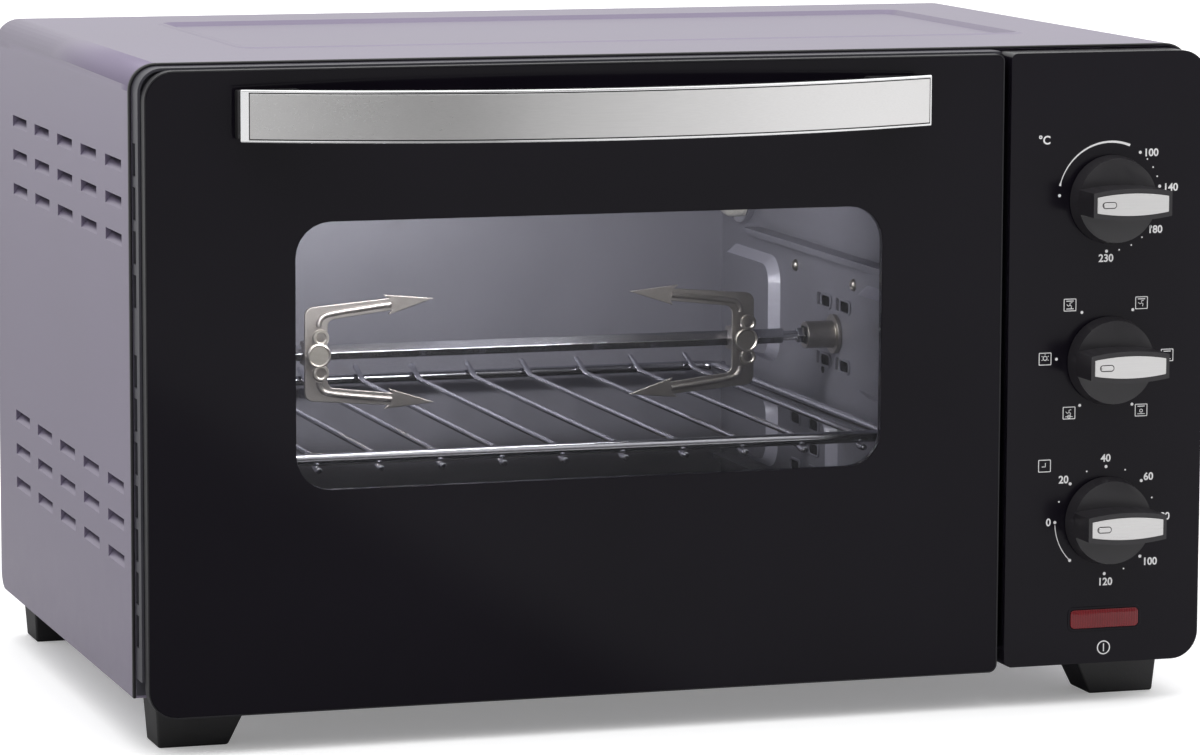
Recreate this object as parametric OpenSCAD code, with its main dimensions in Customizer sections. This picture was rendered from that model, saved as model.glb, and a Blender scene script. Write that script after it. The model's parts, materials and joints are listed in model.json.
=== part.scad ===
// Countertop rotisserie oven with a full-height glass door on the left
// and a control panel on the right. Millimetres, +Z up, front towards -Y.
// Origin: centre of the overall footprint, on the surface the feet stand on.

/* [Housing] */
// Overall width of the housing
body_width = 500; // [460:1:600]
// Depth of the housing, without door, handle and rear spacers
body_depth = 298; // [280:1:360]
// Height of the sheet housing above its base
body_height = 280; // [270:1:330]
// Height of the feet under the housing
foot_height = 24; // [20:1:34]
// Sheet thickness of the housing and cavity
sheet = 1.2; // [1:0.1:1.6]
// Radius of the rounded shoulders
shoulder_radius = 12; // [8:1:20]
// How far the rear spacers keep the housing off a wall
spacer_depth = 12; // [8:1:20]

/* [Door and panel] */
// Width of the control panel
panel_width = 96.4; // [90:0.2:120]
// Thickness of the door
door_thickness = 11; // [10:0.5:14]
// Black border at the left of the clear window
window_left_border = 67; // [50:0.5:90]
// Black border at the right of the clear window
window_right_border = 58.2; // [50:0.1:90]
// Black border over the clear window
window_top_border = 67.2; // [55:0.1:90]
// Black border under the clear window
window_low_border = 98.7; // [70:0.1:110]
// Angle of the fully open door
door_open_angle = 83; // [70:1:84]
// How far in from the door's sides the handle ends
handle_inset = 39.5; // [28:0.1:70]
// Height of the handle plate
handle_height = 23; // [18:0.5:28]
// How far the handle bows out past its ends
handle_bow = 34; // [24:1:40]

/* [Cavity] */
// Gap between the housing's left side and the cavity
cavity_left_gap = 35; // [30:1:45]
// Gap between the cavity and the control panel
cavity_right_gap = 33.6; // [33:0.1:45]
// Gap between the cavity and the housing's back
cavity_back_gap = 13; // [12:1:30]
// Gap between the housing's base and the cavity floor
cavity_floor_gap = 19; // [16:1:26]
// Gap between the cavity and the housing's top
cavity_top_gap = 19; // [15:1:34]

/* [Controls] */
// Diameter of a knob's skirt
knob_diameter = 41; // [34:0.5:46]
// Vertical distance between knobs
knob_pitch = 74.3; // [60:0.1:80]
// Height of a knob over the panel
knob_reach = 26; // [18:0.5:30]

/* [Spit] */
// Side of the square spit bar
spit_side = 7; // [6:0.5:9]
// Length of a fork's tines
tine_length = 55; // [40:1:70]

/* [Hidden] */
$fn = 48;

// Clearances
run_gap = 0.05;     // radial, a pin or shaft in its bore
slip = 0.3;         // between bodies that slide past each other
cut = 1;            // how far a cutter reaches past a face

// Housing planes, with y counted from the housing's front edge
left_x = -body_width / 2;
right_x = body_width / 2;
base_z = foot_height;
top_z = base_z + body_height;
inner_left_x = left_x + sheet;
inner_right_x = right_x - sheet;
inner_top_z = top_z - sheet;

// Door, control panel and the handle's arc in plan
door_back_gap = 9;                              // housing edge to the back of the door
front_depth = door_thickness + door_back_gap;
door_face_y = -front_depth;
door_back_y = door_face_y + door_thickness;
door_left_x = left_x + 2.3;
panel_left_x = right_x - panel_width;
door_right_x = panel_left_x - 3.1;
door_bottom_z = foot_height - 6.4;
door_top_z = top_z - 2;
door_rim = 0.6;
door_radii = [13, 4, 3, 13];
door_edge = 6.5;                                // thickness of the door's outer edge
door_step = 3;                                  // how far the back of the door is set in
pan_wall = 1.2;
door_mid_x = (door_left_x + door_right_x) / 2;
glass_depth = 4;
glass_back_y = door_face_y + glass_depth;
web_back_y = glass_back_y + 1.5;
liner_front_y = door_back_y - 1.5;
window_left_x = door_left_x + window_left_border;
window_right_x = door_right_x - window_right_border;
window_top_z = door_top_z - window_top_border;
window_bottom_z = door_bottom_z + window_low_border;
window_margin = 18;                             // frame opening past the clear window

handle_ends_gap = 12;                           // face of the handle's ends to the door
handle_length = door_right_x - door_left_x - 2 * handle_inset;
handle_reach = front_depth + handle_ends_gap + handle_bow;
handle_arc_r = pow(handle_length, 2) / (8 * handle_bow) + handle_bow / 2;
handle_arc_y = -handle_reach + handle_arc_r;
handle_depth = 6;
handle_top_z = top_z - 9.6;
handle_mid_z = handle_top_z - handle_height / 2;
plate_border = 2.2;
plate_depth = 0.8;
post_length = 28;
post_offset = handle_length / 2 - post_length / 2 - 0.5;
post_height = handle_height - 1.6;

// The overall footprint is centred on the origin
front_y = (handle_reach - body_depth - spacer_depth) / 2;

// Hinge along the door's lower edge, and the stay arms that curve about it
hinge_y = door_back_y - 2.5;
hinge_z = door_bottom_z + 9.4;
pin_radius = 1.5;
ear_radius = 2.7;
ear_thickness = 2.5;
lug_reach = 6;                                  // pin lugs to each side of an ear
ear_inset = door_step + 7.2;                    // from the door's side edge
stay_radius = 60;
stay_width = 6;
stay_thickness = 2;
stay_inset = ear_inset + 9;
stay_low_angle = 79 - door_open_angle;
ear_xs = [door_left_x + ear_inset, door_right_x - ear_inset];
stay_xs = [door_left_x + stay_inset, door_right_x - stay_inset];
frame_proud = door_back_gap - 1;                // front frame in front of the housing edge
rim_front_y = door_face_y + door_edge + 1.5;    // rim round the back of the door
frame_low_z = hinge_z + 6;
frame_right_x = door_right_x + 1;

// Cavity
cavity_left_x = left_x + cavity_left_gap;
cavity_right_x = panel_left_x - cavity_right_gap;
cavity_mid_x = (cavity_left_x + cavity_right_x) / 2;
cavity_width = cavity_right_x - cavity_left_x;
cavity_depth = body_depth - cavity_back_gap;
cavity_floor_z = base_z + cavity_floor_gap;
cavity_top_z = top_z - cavity_top_gap;
floor_top_z = cavity_floor_z + sheet;
cavity_front_y = -frame_proud + sheet;
mouth_low_z = floor_top_z;
mouth_top_z = cavity_top_z;
ledge_reach = 9;
ledge_height = 3;
rack_z = cavity_floor_z + 81.5;                 // axis of the rack's end rods
end_rod_r = 3;
rack_ledge_z = rack_z - end_rod_r - slip;
ledge_tops = [rack_ledge_z - 42, rack_ledge_z, rack_ledge_z + 78];

// Rack
rack_front_y = 15;
rack_back_y = cavity_depth - 15;
rack_end_x = cavity_width / 2 - 3.5;
side_rod_r = 2.5;
wire_r = 1.5;
wire_pitch = 28.7;
wire_count = 2 * floor((rack_end_x - 10) / wire_pitch) + 1;

// Spit line and the drive on the right wall
spit_y = 116;
spit_z = rack_z + 34.5;
socket_wall = 1.13;                             // at the corners of the square socket
socket_r = (spit_side / 2 + slip) * sqrt(2) + socket_wall;
socket_reach = 16;
spit_right_x = cavity_right_x - 7;
spit_left_x = cavity_left_x + 3;
rest_x = cavity_left_x + 11;
neck_r = spit_side / 2 - 0.9;
fork_thickness = 2.5;
fork_half = 21;
fork_flare = 6;
hub_length = 14;
hub_side = spit_side + 8;
fork_left_x = cavity_left_x + 77;
fork_right_x = cavity_right_x - 49;
screw_r = 2.5;

// Heaters, lamp and fan
heater_r = 3.25;
heater_ys = [70, cavity_depth - 70];
heater_top_z = cavity_top_z - 15;
heater_low_z = cavity_floor_z + 25;
heater_tail = 12;
lamp_y = cavity_depth - 35;
lamp_z = spit_z + 59;
lamp_r = 17;
fan_y = spit_y + 28;
fan_z = spit_z - 56.5;
fan_r = 29;

// Controls
knob_x = right_x - 47;
panel_face_y = -front_depth - 1;
panel_bottom_z = door_bottom_z + 1.9;
panel_top_z = door_top_z + 0.3;
panel_wall = 2.5;
knob_mid_z = (panel_bottom_z + panel_top_z) / 2 - 0.4;
knob_zs = [knob_mid_z + knob_pitch, knob_mid_z, knob_mid_z - knob_pitch];
knob_gap = 1;
skirt_height = 7.5;
grip_front_y = panel_face_y - knob_reach;
insert_depth = 1;
shaft_r = 3;
shaft_back_y = 6;
bracket_y = -3;
lens_width = 30.5;
lens_height = 10.3;
lens_z = panel_bottom_z + 20.9;

// Cord inlet
gland_x = right_x - 30;
gland_z = base_z + 32;
gland_r = 9;
gland_bore_r = 3.6;
gland_reach = 8;

steel = "#a7a4b2";
cavity_grey = "#77777b";
black = "#232026";
bright = "#cfccd2";

// ---- Helpers: y is counted from the housing's front edge ----

module box(x0, x1, y0, y1, z0, z1) {
    translate([x0, front_y + y0, z0]) cube([x1 - x0, y1 - y0, z1 - z0]);
}

module rod_x(x0, x1, y, z, r) {
    translate([x0, front_y + y, z]) rotate([0, 90, 0]) cylinder(h = x1 - x0, r = r);
}

module rod_y(y0, y1, x, z, r) {
    translate([x, front_y + y1, z]) rotate([90, 0, 0]) cylinder(h = y1 - y0, r = r);
}

// Extrudes an (x, z) outline from y0 to y1
module facing(y0, y1) {
    translate([0, front_y + y1, 0]) rotate([90, 0, 0]) linear_extrude(y1 - y0) children();
}

// Extrudes a (y, z) outline from x0 to x1
module sideways(x0, x1) {
    translate([x0, front_y, 0]) rotate([90, 0, 90]) linear_extrude(x1 - x0) children();
}

// Rectangle whose corners have their own radii: [low left, low right, top right, top left]
module rounded(x0, x1, z0, z1, r) {
    corners = [[x0, z0, 1, 1], [x1, z0, -1, 1], [x1, z1, -1, -1], [x0, z1, 1, -1]];
    difference() {
        translate([x0, z0]) square([x1 - x0, z1 - z0]);
        for (i = [0:3]) if (r[i] > 0) translate([corners[i][0], corners[i][1]])
            corner_bite(corners[i][2], corners[i][3], r[i]);
    }
}

// The bite that rounds one corner, opening towards (sx, sz)
module corner_bite(sx, sz, r) {
    difference() {
        translate([sx > 0 ? -cut : -r, sz > 0 ? -cut : -r]) square([r + cut, r + cut]);
        translate([sx * r, sz * r]) circle(r = r);
    }
}

module hole_row(x0, x1, z, count, pitch, w, h) {
    for (i = [0:count - 1]) translate([x0 + i * pitch - w / 2, z - h / 2]) square([w, h]);
}

// ---- Housing ----

function wrap_outline_radii(r) = [0, 0, r, r];

louver_length = 33;
louver_height = 5.5;
louver_pitch_y = 52;
louver_pitch_z = 16.4;
louver_back_y = body_depth - 24;
louver_columns = floor((louver_back_y - louver_length - 20) / louver_pitch_y) + 1;
louver_tops = [top_z - 43.3, top_z - 186.2];

module each_louver() {
    for (group = louver_tops) for (row = [0:2]) for (column = [0:louver_columns - 1])
        translate([0, -column * louver_pitch_y, group - row * louver_pitch_z]) children();
}

// One lanced louver of the left side: the slit, then the tongue pressed inwards
module louver_slit() {
    box(left_x - cut, left_x + sheet + cut, louver_back_y - louver_length, louver_back_y,
        -louver_height, 0);
}

module louver_tongue() {
    facing(louver_back_y - louver_length, louver_back_y)
        polygon([[left_x, -louver_height], [left_x + sheet, -louver_height],
            [left_x + sheet + 3, -1.2], [left_x + 3, -1.2]]);
}

module pressed_panel(inset, z0, z1) {
    box(left_x + 68 + inset, right_x - 49 - inset, 76 + inset, body_depth - 46 - inset, z0, z1);
}

module outer_wrap() {
    color(steel) {
        difference() {
            union() {
                facing(0, body_depth) difference() {
                    rounded(left_x, right_x, base_z, top_z, wrap_outline_radii(shoulder_radius));
                    rounded(inner_left_x, inner_right_x, base_z - cut, inner_top_z,
                        wrap_outline_radii(shoulder_radius - sheet));
                }
                pressed_panel(0, inner_top_z - sheet, inner_top_z);
            }
            pressed_panel(sheet, inner_top_z, top_z + cut);
            for (side = [0, 1]) mirror([side, 0, 0]) each_louver() louver_slit();
        }
        for (side = [0, 1]) mirror([side, 0, 0]) each_louver() louver_tongue();
    }
}

module base_plate() {
    color(steel) difference() {
        union() {
            box(inner_left_x, inner_right_x, 0, body_depth - sheet, base_z, base_z + sheet);
            box(inner_left_x, inner_right_x, body_depth - 2 * sheet, body_depth - sheet,
                base_z + sheet, base_z + 12);
        }
        // slots for the ends of the stay arms
        for (x = stay_xs)
            box(x - 3, x + 3, hinge_y + stay_radius - 6, hinge_y + stay_radius + 6,
                base_z - cut, base_z + sheet + cut);
        // air inlets
        for (row = [0:2]) for (i = [0:11])
            box(-190 + i * 27, -173 + i * 27, 100 + row * 50, 104 + row * 50,
                base_z - cut, base_z + sheet + cut);
    }
}

module back_panel() {
    color(steel) difference() {
        facing(body_depth - sheet, body_depth)
            rounded(inner_left_x, inner_right_x, base_z, inner_top_z,
                wrap_outline_radii(shoulder_radius - sheet));
        facing(body_depth - 2 * sheet, body_depth + cut) {
            for (row = [0:5]) hole_row(-170, 0, top_z - 60 - row * 12, 9, 42, 30, 4);
            hole_row(gland_x - 30, 0, base_z + 90, 4, 12, 4, 40);
            translate([gland_x, gland_z]) circle(r = gland_r - 2);
        }
    }
}

slot_length = 14.4;
slot_pitch = 19.2;
slot_upper_z = top_z - 34.2;
slot_lower_z = top_z - 127;
slot_lower_count = floor((slot_lower_z - frame_low_z - 8) / slot_pitch);

module side_slots(z, count) {
    for (i = [0:count - 1]) box(left_x, inner_left_x + 2 * sheet, -frame_proud + 1.4, -0.6,
        z - slot_length - i * slot_pitch, z - i * slot_pitch);
}

// Proud front frame round the cavity mouth, with vents in its left flange
module front_frame() {
    color(cavity_grey) {
        difference() {
            facing(rim_front_y, 0)
                rounded(inner_left_x, frame_right_x, frame_low_z, inner_top_z,
                    [0, 0, 0, shoulder_radius - sheet]);
            facing(rim_front_y - cut, -frame_proud)
                rounded(inner_left_x + sheet, frame_right_x - sheet, frame_low_z - cut,
                    inner_top_z - sheet, [0, 0, 0, shoulder_radius - 2 * sheet]);
            facing(cavity_front_y, cut)
                rounded(inner_left_x + sheet, frame_right_x - sheet, frame_low_z + sheet,
                    inner_top_z - sheet, [0, 0, 0, shoulder_radius - 2 * sheet]);
            box(cavity_left_x, cavity_right_x, -frame_proud - cut, 0, mouth_low_z, mouth_top_z);
            side_slots(slot_upper_z, 4);
            side_slots(slot_lower_z, slot_lower_count);
            for (x = stay_xs)
                box(x - 2.5, x + 2.5, -frame_proud - cut, 0,
                    hinge_z + stay_radius - 6.5, hinge_z + stay_radius + 6.5);
        }
        difference() {
            box(inner_left_x, frame_right_x, 0, sheet, base_z + sheet, frame_low_z + 3);
            for (x = ear_xs)
                box(x - ear_thickness, x + ear_thickness, -cut, sheet + cut, base_z, frame_low_z);
        }
    }
}

// ---- Cavity ----

module ledges(wall_x, side) {
    for (z = ledge_tops)
        facing(12, z > spit_z ? lamp_y - lamp_r - 7 : cavity_depth - 12)
            polygon([[wall_x, z], [wall_x + side * ledge_reach, z],
                [wall_x + side * ledge_reach, z - ledge_height], [wall_x, z - ledge_height - 3]]);
}

module heater_holes(x0, x1) {
    for (y = heater_ys) for (z = [heater_low_z, heater_top_z]) rod_x(x0, x1, y, z, heater_r);
}

module cavity_left_wall() {
    color(cavity_grey) difference() {
        union() {
            box(cavity_left_x - sheet, cavity_left_x, cavity_front_y, cavity_depth,
                cavity_floor_z, cavity_top_z);
            ledges(cavity_left_x, 1);
        }
        heater_holes(cavity_left_x - sheet - cut, cavity_left_x + cut);
    }
}

vent_side = 6;

module cavity_right_wall() {
    color(cavity_grey) difference() {
        union() {
            box(cavity_right_x, cavity_right_x + sheet, cavity_front_y, cavity_depth,
                cavity_floor_z, cavity_top_z);
            ledges(cavity_right_x, -1);
        }
        heater_holes(cavity_right_x - cut, cavity_right_x + sheet + cut);
        rod_x(cavity_right_x - cut, cavity_right_x + sheet + cut, spit_y, spit_z,
            socket_r + run_gap);
        rod_x(cavity_right_x - cut, cavity_right_x + sheet + cut, lamp_y, lamp_z, lamp_r - 4);
        // air holes round the drive, and in front of the fan wheel
        sideways(cavity_right_x - cut, cavity_right_x + sheet + cut) {
            for (z = [-1, 1]) hole_row(spit_y - 2.5, 0, spit_z + z * 14.3, 2, 26.4,
                vent_side, vent_side);
            for (z = [-1, 0, 1]) hole_row(fan_y - 13.2, 0, fan_z + z * 13.4, 2, 26.4,
                vent_side, vent_side);
        }
    }
}

module cavity_back_wall() {
    color(cavity_grey) box(cavity_left_x - sheet, cavity_right_x + sheet, cavity_depth,
        cavity_depth + sheet, cavity_floor_z, cavity_top_z + sheet);
}

module cavity_ceiling() {
    color(cavity_grey) difference() {
        box(cavity_left_x - sheet, cavity_right_x + sheet, cavity_front_y, cavity_depth,
            cavity_top_z, cavity_top_z + sheet);
        // steam slots
        for (i = [0:9]) box(cavity_mid_x - 114 + i * 24, cavity_mid_x - 102 + i * 24, 138, 142,
            cavity_top_z - cut, cavity_top_z + sheet + cut);
    }
}

module cavity_floor() {
    color(cavity_grey) box(cavity_left_x, cavity_right_x, cavity_front_y, cavity_depth,
        cavity_floor_z, floor_top_z);
}

module heater(y, z) {
    color("#5d5856") {
        rod_x(cavity_left_x - sheet - heater_tail, cavity_right_x + sheet + heater_tail,
            y, z, heater_r);
        for (x = [cavity_left_x - sheet - 6, cavity_right_x + sheet])
            rod_x(x, x + 6, y, z, heater_r + 2.5);
    }
}

module heater_top_front() { heater(heater_ys[0], heater_top_z); }
module heater_top_back() { heater(heater_ys[1], heater_top_z); }
module heater_bottom_front() { heater(heater_ys[0], heater_low_z); }
module heater_bottom_back() { heater(heater_ys[1], heater_low_z); }

module lamp_ring() {
    color(bright) difference() {
        rod_x(cavity_right_x - 4, cavity_right_x, lamp_y, lamp_z, lamp_r + 2);
        rod_x(cavity_right_x - 4 - cut, cavity_right_x + cut, lamp_y, lamp_z, lamp_r - 3);
    }
}

module lamp_glass() {
    color("#e8e6e0") {
        rod_x(cavity_right_x - 10, cavity_right_x - 4, lamp_y, lamp_z, lamp_r - 1);
        translate([cavity_right_x - 10, front_y + lamp_y, lamp_z]) rotate([0, -90, 0])
            rotate_extrude() intersection() {
                square([lamp_r, 8]);
                dome_outline(lamp_r - 1);
            }
    }
}

// Shallow dome: a circle tall enough to meet the sleeve at its rim
module dome_outline(rim) {
    dome = 8;
    r = (rim * rim + dome * dome) / (2 * dome);
    translate([0, dome - r]) circle(r = r);
}

module spit_rest() {
    color(bright) difference() {
        union() {
            box(cavity_left_x, cavity_left_x + 1.5, spit_y - 10, spit_y + 10,
                spit_z - 22, spit_z + 4);
            box(cavity_left_x, rest_x + 1, spit_y - 10, spit_y + 10, spit_z - 22, spit_z - 20.5);
            box(rest_x - 1, rest_x + 1, spit_y - 10, spit_y + 10, spit_z - 22, spit_z + 4);
        }
        rod_x(rest_x - 2, rest_x + 2, spit_y, spit_z, neck_r + slip);
        box(rest_x - 2, rest_x + 2, spit_y - neck_r - slip, spit_y + neck_r + slip,
            spit_z, spit_z + 5);
    }
}

motor_x = cavity_right_x + sheet + 3;

module rotisserie_motor() {
    color("#8f9094") difference() {
        union() {
            box(motor_x, motor_x + 24, spit_y - 25, spit_y + 25, spit_z - 25, spit_z + 25);
            for (y = [-20, 20]) rod_x(cavity_right_x + sheet, motor_x, spit_y + y, spit_z + 20, 3);
        }
        rod_x(motor_x - cut, motor_x + 12, spit_y, spit_z, shaft_r + run_gap);
    }
}

module drive_socket() {
    color(bright) {
        difference() {
            union() {
                rod_x(cavity_right_x - socket_reach, cavity_right_x - 2 - slip, spit_y, spit_z,
                    socket_r);
                rod_x(cavity_right_x - 2 - slip, cavity_right_x - slip, spit_y, spit_z,
                    socket_r + 3);
            }
            box(cavity_right_x - socket_reach - cut, cavity_right_x - 5,
                spit_y - spit_side / 2 - slip, spit_y + spit_side / 2 + slip,
                spit_z - spit_side / 2 - slip, spit_z + spit_side / 2 + slip);
        }
        rod_x(cavity_right_x - slip, motor_x - slip, spit_y, spit_z, socket_r);
        rod_x(motor_x - slip, motor_x + 11, spit_y, spit_z, shaft_r);
    }
}

module fan_motor() {
    color("#8f9094") difference() {
        union() {
            rod_x(motor_x + 18, motor_x + 48, fan_y, fan_z, 20);
            for (y = [-28, 28]) rod_x(cavity_right_x + sheet, motor_x + 22, fan_y + y,
                fan_z - 22, 3);
            box(motor_x + 18, motor_x + 22, fan_y - 31, fan_y + 31, fan_z - 25, fan_z - 15);
        }
        rod_x(motor_x + 18 - cut, motor_x + 36, fan_y, fan_z, pin_radius + run_gap);
    }
}

module fan_wheel() {
    color(bright) {
        rod_x(motor_x, motor_x + 13, fan_y, fan_z, 7);
        rod_x(motor_x + 13, motor_x + 35, fan_y, fan_z, pin_radius);
        rod_x(motor_x + 12, motor_x + 13, fan_y, fan_z, fan_r);
        for (i = [0:9]) translate([motor_x, front_y + fan_y, fan_z]) rotate([i * 36, 0, 0])
            translate([0, 10, -0.6]) cube([12.5, fan_r - 11, 1.2]);
    }
}

// ---- Controls ----

module control_panel() {
    color(black) difference() {
        facing(panel_face_y, 0)
            rounded(panel_left_x, right_x, panel_bottom_z, panel_top_z, [4, 13, 13, 3]);
        facing(panel_face_y + panel_wall, cut)
            rounded(panel_left_x + panel_wall, right_x - panel_wall,
                panel_bottom_z + panel_wall, panel_top_z - panel_wall, [1.5, 10.5, 10.5, 0.5]);
        for (z = knob_zs) rod_y(panel_face_y - cut, panel_face_y + panel_wall + cut,
            knob_x, z, shaft_r + 1);
        lens_window(panel_face_y - cut, panel_face_y + panel_wall + cut, 0);
    }
}

module lens_window(y0, y1, grow) {
    facing(y0, y1) rounded(knob_x - lens_width / 2 - grow, knob_x + lens_width / 2 + grow,
        lens_z - lens_height / 2 - grow, lens_z + lens_height / 2 + grow, [2, 2, 2, 2]);
}

module indicator_lens() {
    color("#7a343c") {
        lens_window(panel_face_y - 1, panel_face_y + panel_wall, 0);
        lens_window(panel_face_y + panel_wall, panel_face_y + panel_wall + 2, 2);
    }
}

module control_bracket() {
    color(steel) difference() {
        box(panel_left_x + panel_wall, right_x - panel_wall, bracket_y, bracket_y + sheet,
            knob_zs[2] - 30, knob_zs[0] + 30);
        for (z = knob_zs) rod_y(bracket_y - cut, bracket_y + sheet + cut, knob_x, z,
            shaft_r + run_gap);
    }
}

// Shaft bore shared by everything behind the bracket
module shaft_bore(z) {
    rod_y(bracket_y, shaft_back_y + 1, knob_x, z, shaft_r + run_gap);
}

module thermostat() {
    color("#c9c2ae") difference() {
        union() {
            rod_y(bracket_y + sheet, 22, knob_x, knob_zs[0], 15);
            box(knob_x - 22, knob_x + 22, bracket_y + sheet, 10, knob_zs[0] - 8, knob_zs[0] + 8);
        }
        shaft_bore(knob_zs[0]);
    }
}

module selector_switch() {
    color("#c9c2ae") difference() {
        box(knob_x - 17, knob_x + 17, bracket_y + sheet, 30, knob_zs[1] - 17, knob_zs[1] + 17);
        shaft_bore(knob_zs[1]);
    }
}

module timer() {
    color("#c9c2ae") difference() {
        union() {
            rod_y(bracket_y + sheet, 34, knob_x, knob_zs[2], 24);
            rod_y(34, 38, knob_x, knob_zs[2], 15);
        }
        shaft_bore(knob_zs[2]);
    }
}

// Bar with bulging long sides, from its half length and its half height in the middle and at the ends
module barrel(z, half, mid, end) {
    r = (half * half + pow(mid - end, 2)) / (2 * (mid - end));
    translate([knob_x, z]) intersection() {
        translate([-half, -mid]) square([2 * half, 2 * mid]);
        translate([0, r - mid]) circle(r = r, $fn = 180);
        translate([0, mid - r]) circle(r = r, $fn = 180);
    }
}

module grip_outline(z) {
    barrel(z, knob_diameter / 2 - 1.3, 7.3, 5.5);
}

module insert_outline(z) {
    barrel(z, knob_diameter / 2 - 3, 5.1, 3.6);
}

module knob(z) {
    color(black) {
        translate([knob_x, front_y + panel_face_y - knob_gap, z]) rotate([90, 0, 0])
            cylinder(h = skirt_height, r1 = knob_diameter / 2, r2 = knob_diameter / 2 - 1.3);
        difference() {
            facing(grip_front_y, panel_face_y - knob_gap - skirt_height) grip_outline(z);
            facing(grip_front_y - cut, grip_front_y + insert_depth) insert_outline(z);
        }
        rod_y(panel_face_y - knob_gap, shaft_back_y, knob_x, z, shaft_r);
    }
}

module knob_insert(z) {
    color(bright) facing(grip_front_y - 0.4, grip_front_y + insert_depth) insert_outline(z);
}

module temperature_knob() { knob(knob_zs[0]); }
module temperature_insert() { knob_insert(knob_zs[0]); }
module function_knob() { knob(knob_zs[1]); }
module function_insert() { knob_insert(knob_zs[1]); }
module timer_knob() { knob(knob_zs[2]); }
module timer_insert() { knob_insert(knob_zs[2]); }

// ---- Feet, spacers and cord gland ----

// A foot tapers on every side: the overlap of a front and a side trapezium
module foot(x0, x1, y0, y1, lean_left, lean_right) {
    color("#2a282c") intersection() {
        facing(y0 - cut, y1 + cut)
            polygon([[x0, foot_height], [x0 + lean_left, 0], [x1 - lean_right, 0],
                [x1, foot_height]]);
        sideways(x0 - cut, x1 + cut)
            polygon([[y0, foot_height], [y0 + 2.5, 0], [y1 - 2.5, 0], [y1, foot_height]]);
    }
}

foot_width = 45;
foot_inset = 10;
foot_y = 1;
foot_long = 28;
foot_lean_out = 1.6;
foot_lean_in = 11.5;

module foot_front_left() {
    foot(left_x + foot_inset, left_x + foot_inset + foot_width, foot_y, foot_y + foot_long,
        foot_lean_out, foot_lean_in);
}
module foot_front_right() {
    foot(right_x - foot_inset - foot_width, right_x - foot_inset, foot_y, foot_y + foot_long,
        foot_lean_in, foot_lean_out);
}
module foot_back_left() {
    foot(left_x + foot_inset, left_x + foot_inset + foot_width,
        body_depth - foot_y - foot_long, body_depth - foot_y, foot_lean_out, foot_lean_in);
}
module foot_back_right() {
    foot(right_x - foot_inset - foot_width, right_x - foot_inset,
        body_depth - foot_y - foot_long, body_depth - foot_y, foot_lean_in, foot_lean_out);
}

module rear_spacer(x) {
    color(black) facing(body_depth, body_depth + spacer_depth)
        rounded(x - 20, x + 20, top_z - 40, top_z - 26, [4, 4, 4, 4]);
}

module rear_spacer_left() { rear_spacer(-150); }
module rear_spacer_right() { rear_spacer(150); }

module cord_gland() {
    color(black) difference() {
        union() {
            rod_y(body_depth - sheet - 3, body_depth - sheet, gland_x, gland_z, gland_r);
            rod_y(body_depth - sheet, body_depth, gland_x, gland_z, gland_r - 2);
            rod_y(body_depth, body_depth + gland_reach, gland_x, gland_z, gland_r);
        }
        rod_y(body_depth - 10, body_depth + gland_reach + cut, gland_x, gland_z, gland_bore_r);
    }
}

// ---- Door ----

module hinge_bracket(x) {
    color(steel) difference() {
        union() {
            sideways(x - ear_thickness / 2, x + ear_thickness / 2) {
                translate([hinge_y, hinge_z]) circle(r = ear_radius);
                polygon([[hinge_y, hinge_z - ear_radius], [22, base_z + sheet],
                    [22, hinge_z + 4], [hinge_y, hinge_z + ear_radius]]);
            }
            box(x - 4, x + 4, sheet, 22, base_z + sheet, base_z + 2 * sheet);
        }
        rod_x(x - ear_thickness, x + ear_thickness, hinge_y, hinge_z, pin_radius + run_gap);
        box(x - 5, x + 5, 0, 30, base_z - cut, base_z + sheet);
    }
}

module hinge_bracket_left() { hinge_bracket(ear_xs[0]); }
module hinge_bracket_right() { hinge_bracket(ear_xs[1]); }

module window_cut(y0, y1) {
    facing(y0, y1) rounded(window_left_x - window_margin, window_right_x + window_margin,
        window_bottom_z - window_margin, window_top_z + window_margin, [8, 8, 8, 8]);
}

// Room for a bracket ear in the door's lower edge
module ear_notch(x) {
    box(x - 2.5, x + 2.5, web_back_y, door_back_y + cut, door_bottom_z - cut, hinge_z + 10);
}

// The door's outline, set in by a distance
module door_outline(inset) {
    rounded(door_left_x + inset, door_right_x - inset, door_bottom_z + inset, door_top_z - inset,
        [for (r = door_radii) max(r - inset, 0)]);
}

module door_frame() {
    color("#3a393e") difference() {
        union() {
            difference() {
                union() {
                    facing(door_face_y, door_face_y + door_edge) door_outline(0);
                    facing(door_face_y + door_edge, door_back_y) door_outline(door_step);
                }
                facing(door_face_y - cut, glass_back_y) door_outline(door_rim);
                facing(web_back_y, door_back_y + cut) door_outline(door_step + pan_wall);
                window_cut(door_face_y, door_back_y);
            }
            // lugs that hold the hinge pins
            for (x = ear_xs) box(x - lug_reach, x + lug_reach, web_back_y, liner_front_y,
                door_bottom_z + door_step, hinge_z + 6);
        }
        for (x = ear_xs) {
            ear_notch(x);
            rod_x(x - lug_reach, x + lug_reach, hinge_y, hinge_z, pin_radius);
        }
    }
}

module door_glass() {
    color(black) facing(door_face_y, glass_back_y) door_outline(door_rim);
}

module door_liner() {
    color("#4a494e") difference() {
        facing(liner_front_y, door_back_y) door_outline(door_step + pan_wall);
        window_cut(liner_front_y - cut, door_back_y + cut);
        for (x = ear_xs) box(x - lug_reach - slip, x + lug_reach + slip, liner_front_y - cut,
            door_back_y + cut, door_bottom_z, hinge_z + 7);
        for (x = stay_xs)
            box(x - stay_thickness / 2, x + stay_thickness / 2, liner_front_y - cut,
                door_back_y + cut, hinge_z + stay_radius - 5, hinge_z + stay_radius + 5);
    }
}

// A pin runs through the ear and is held by a lug at each side of the notch
module hinge_pin(x) {
    color(bright) rod_x(x - lug_reach, x + lug_reach, hinge_y, hinge_z, pin_radius);
}

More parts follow.
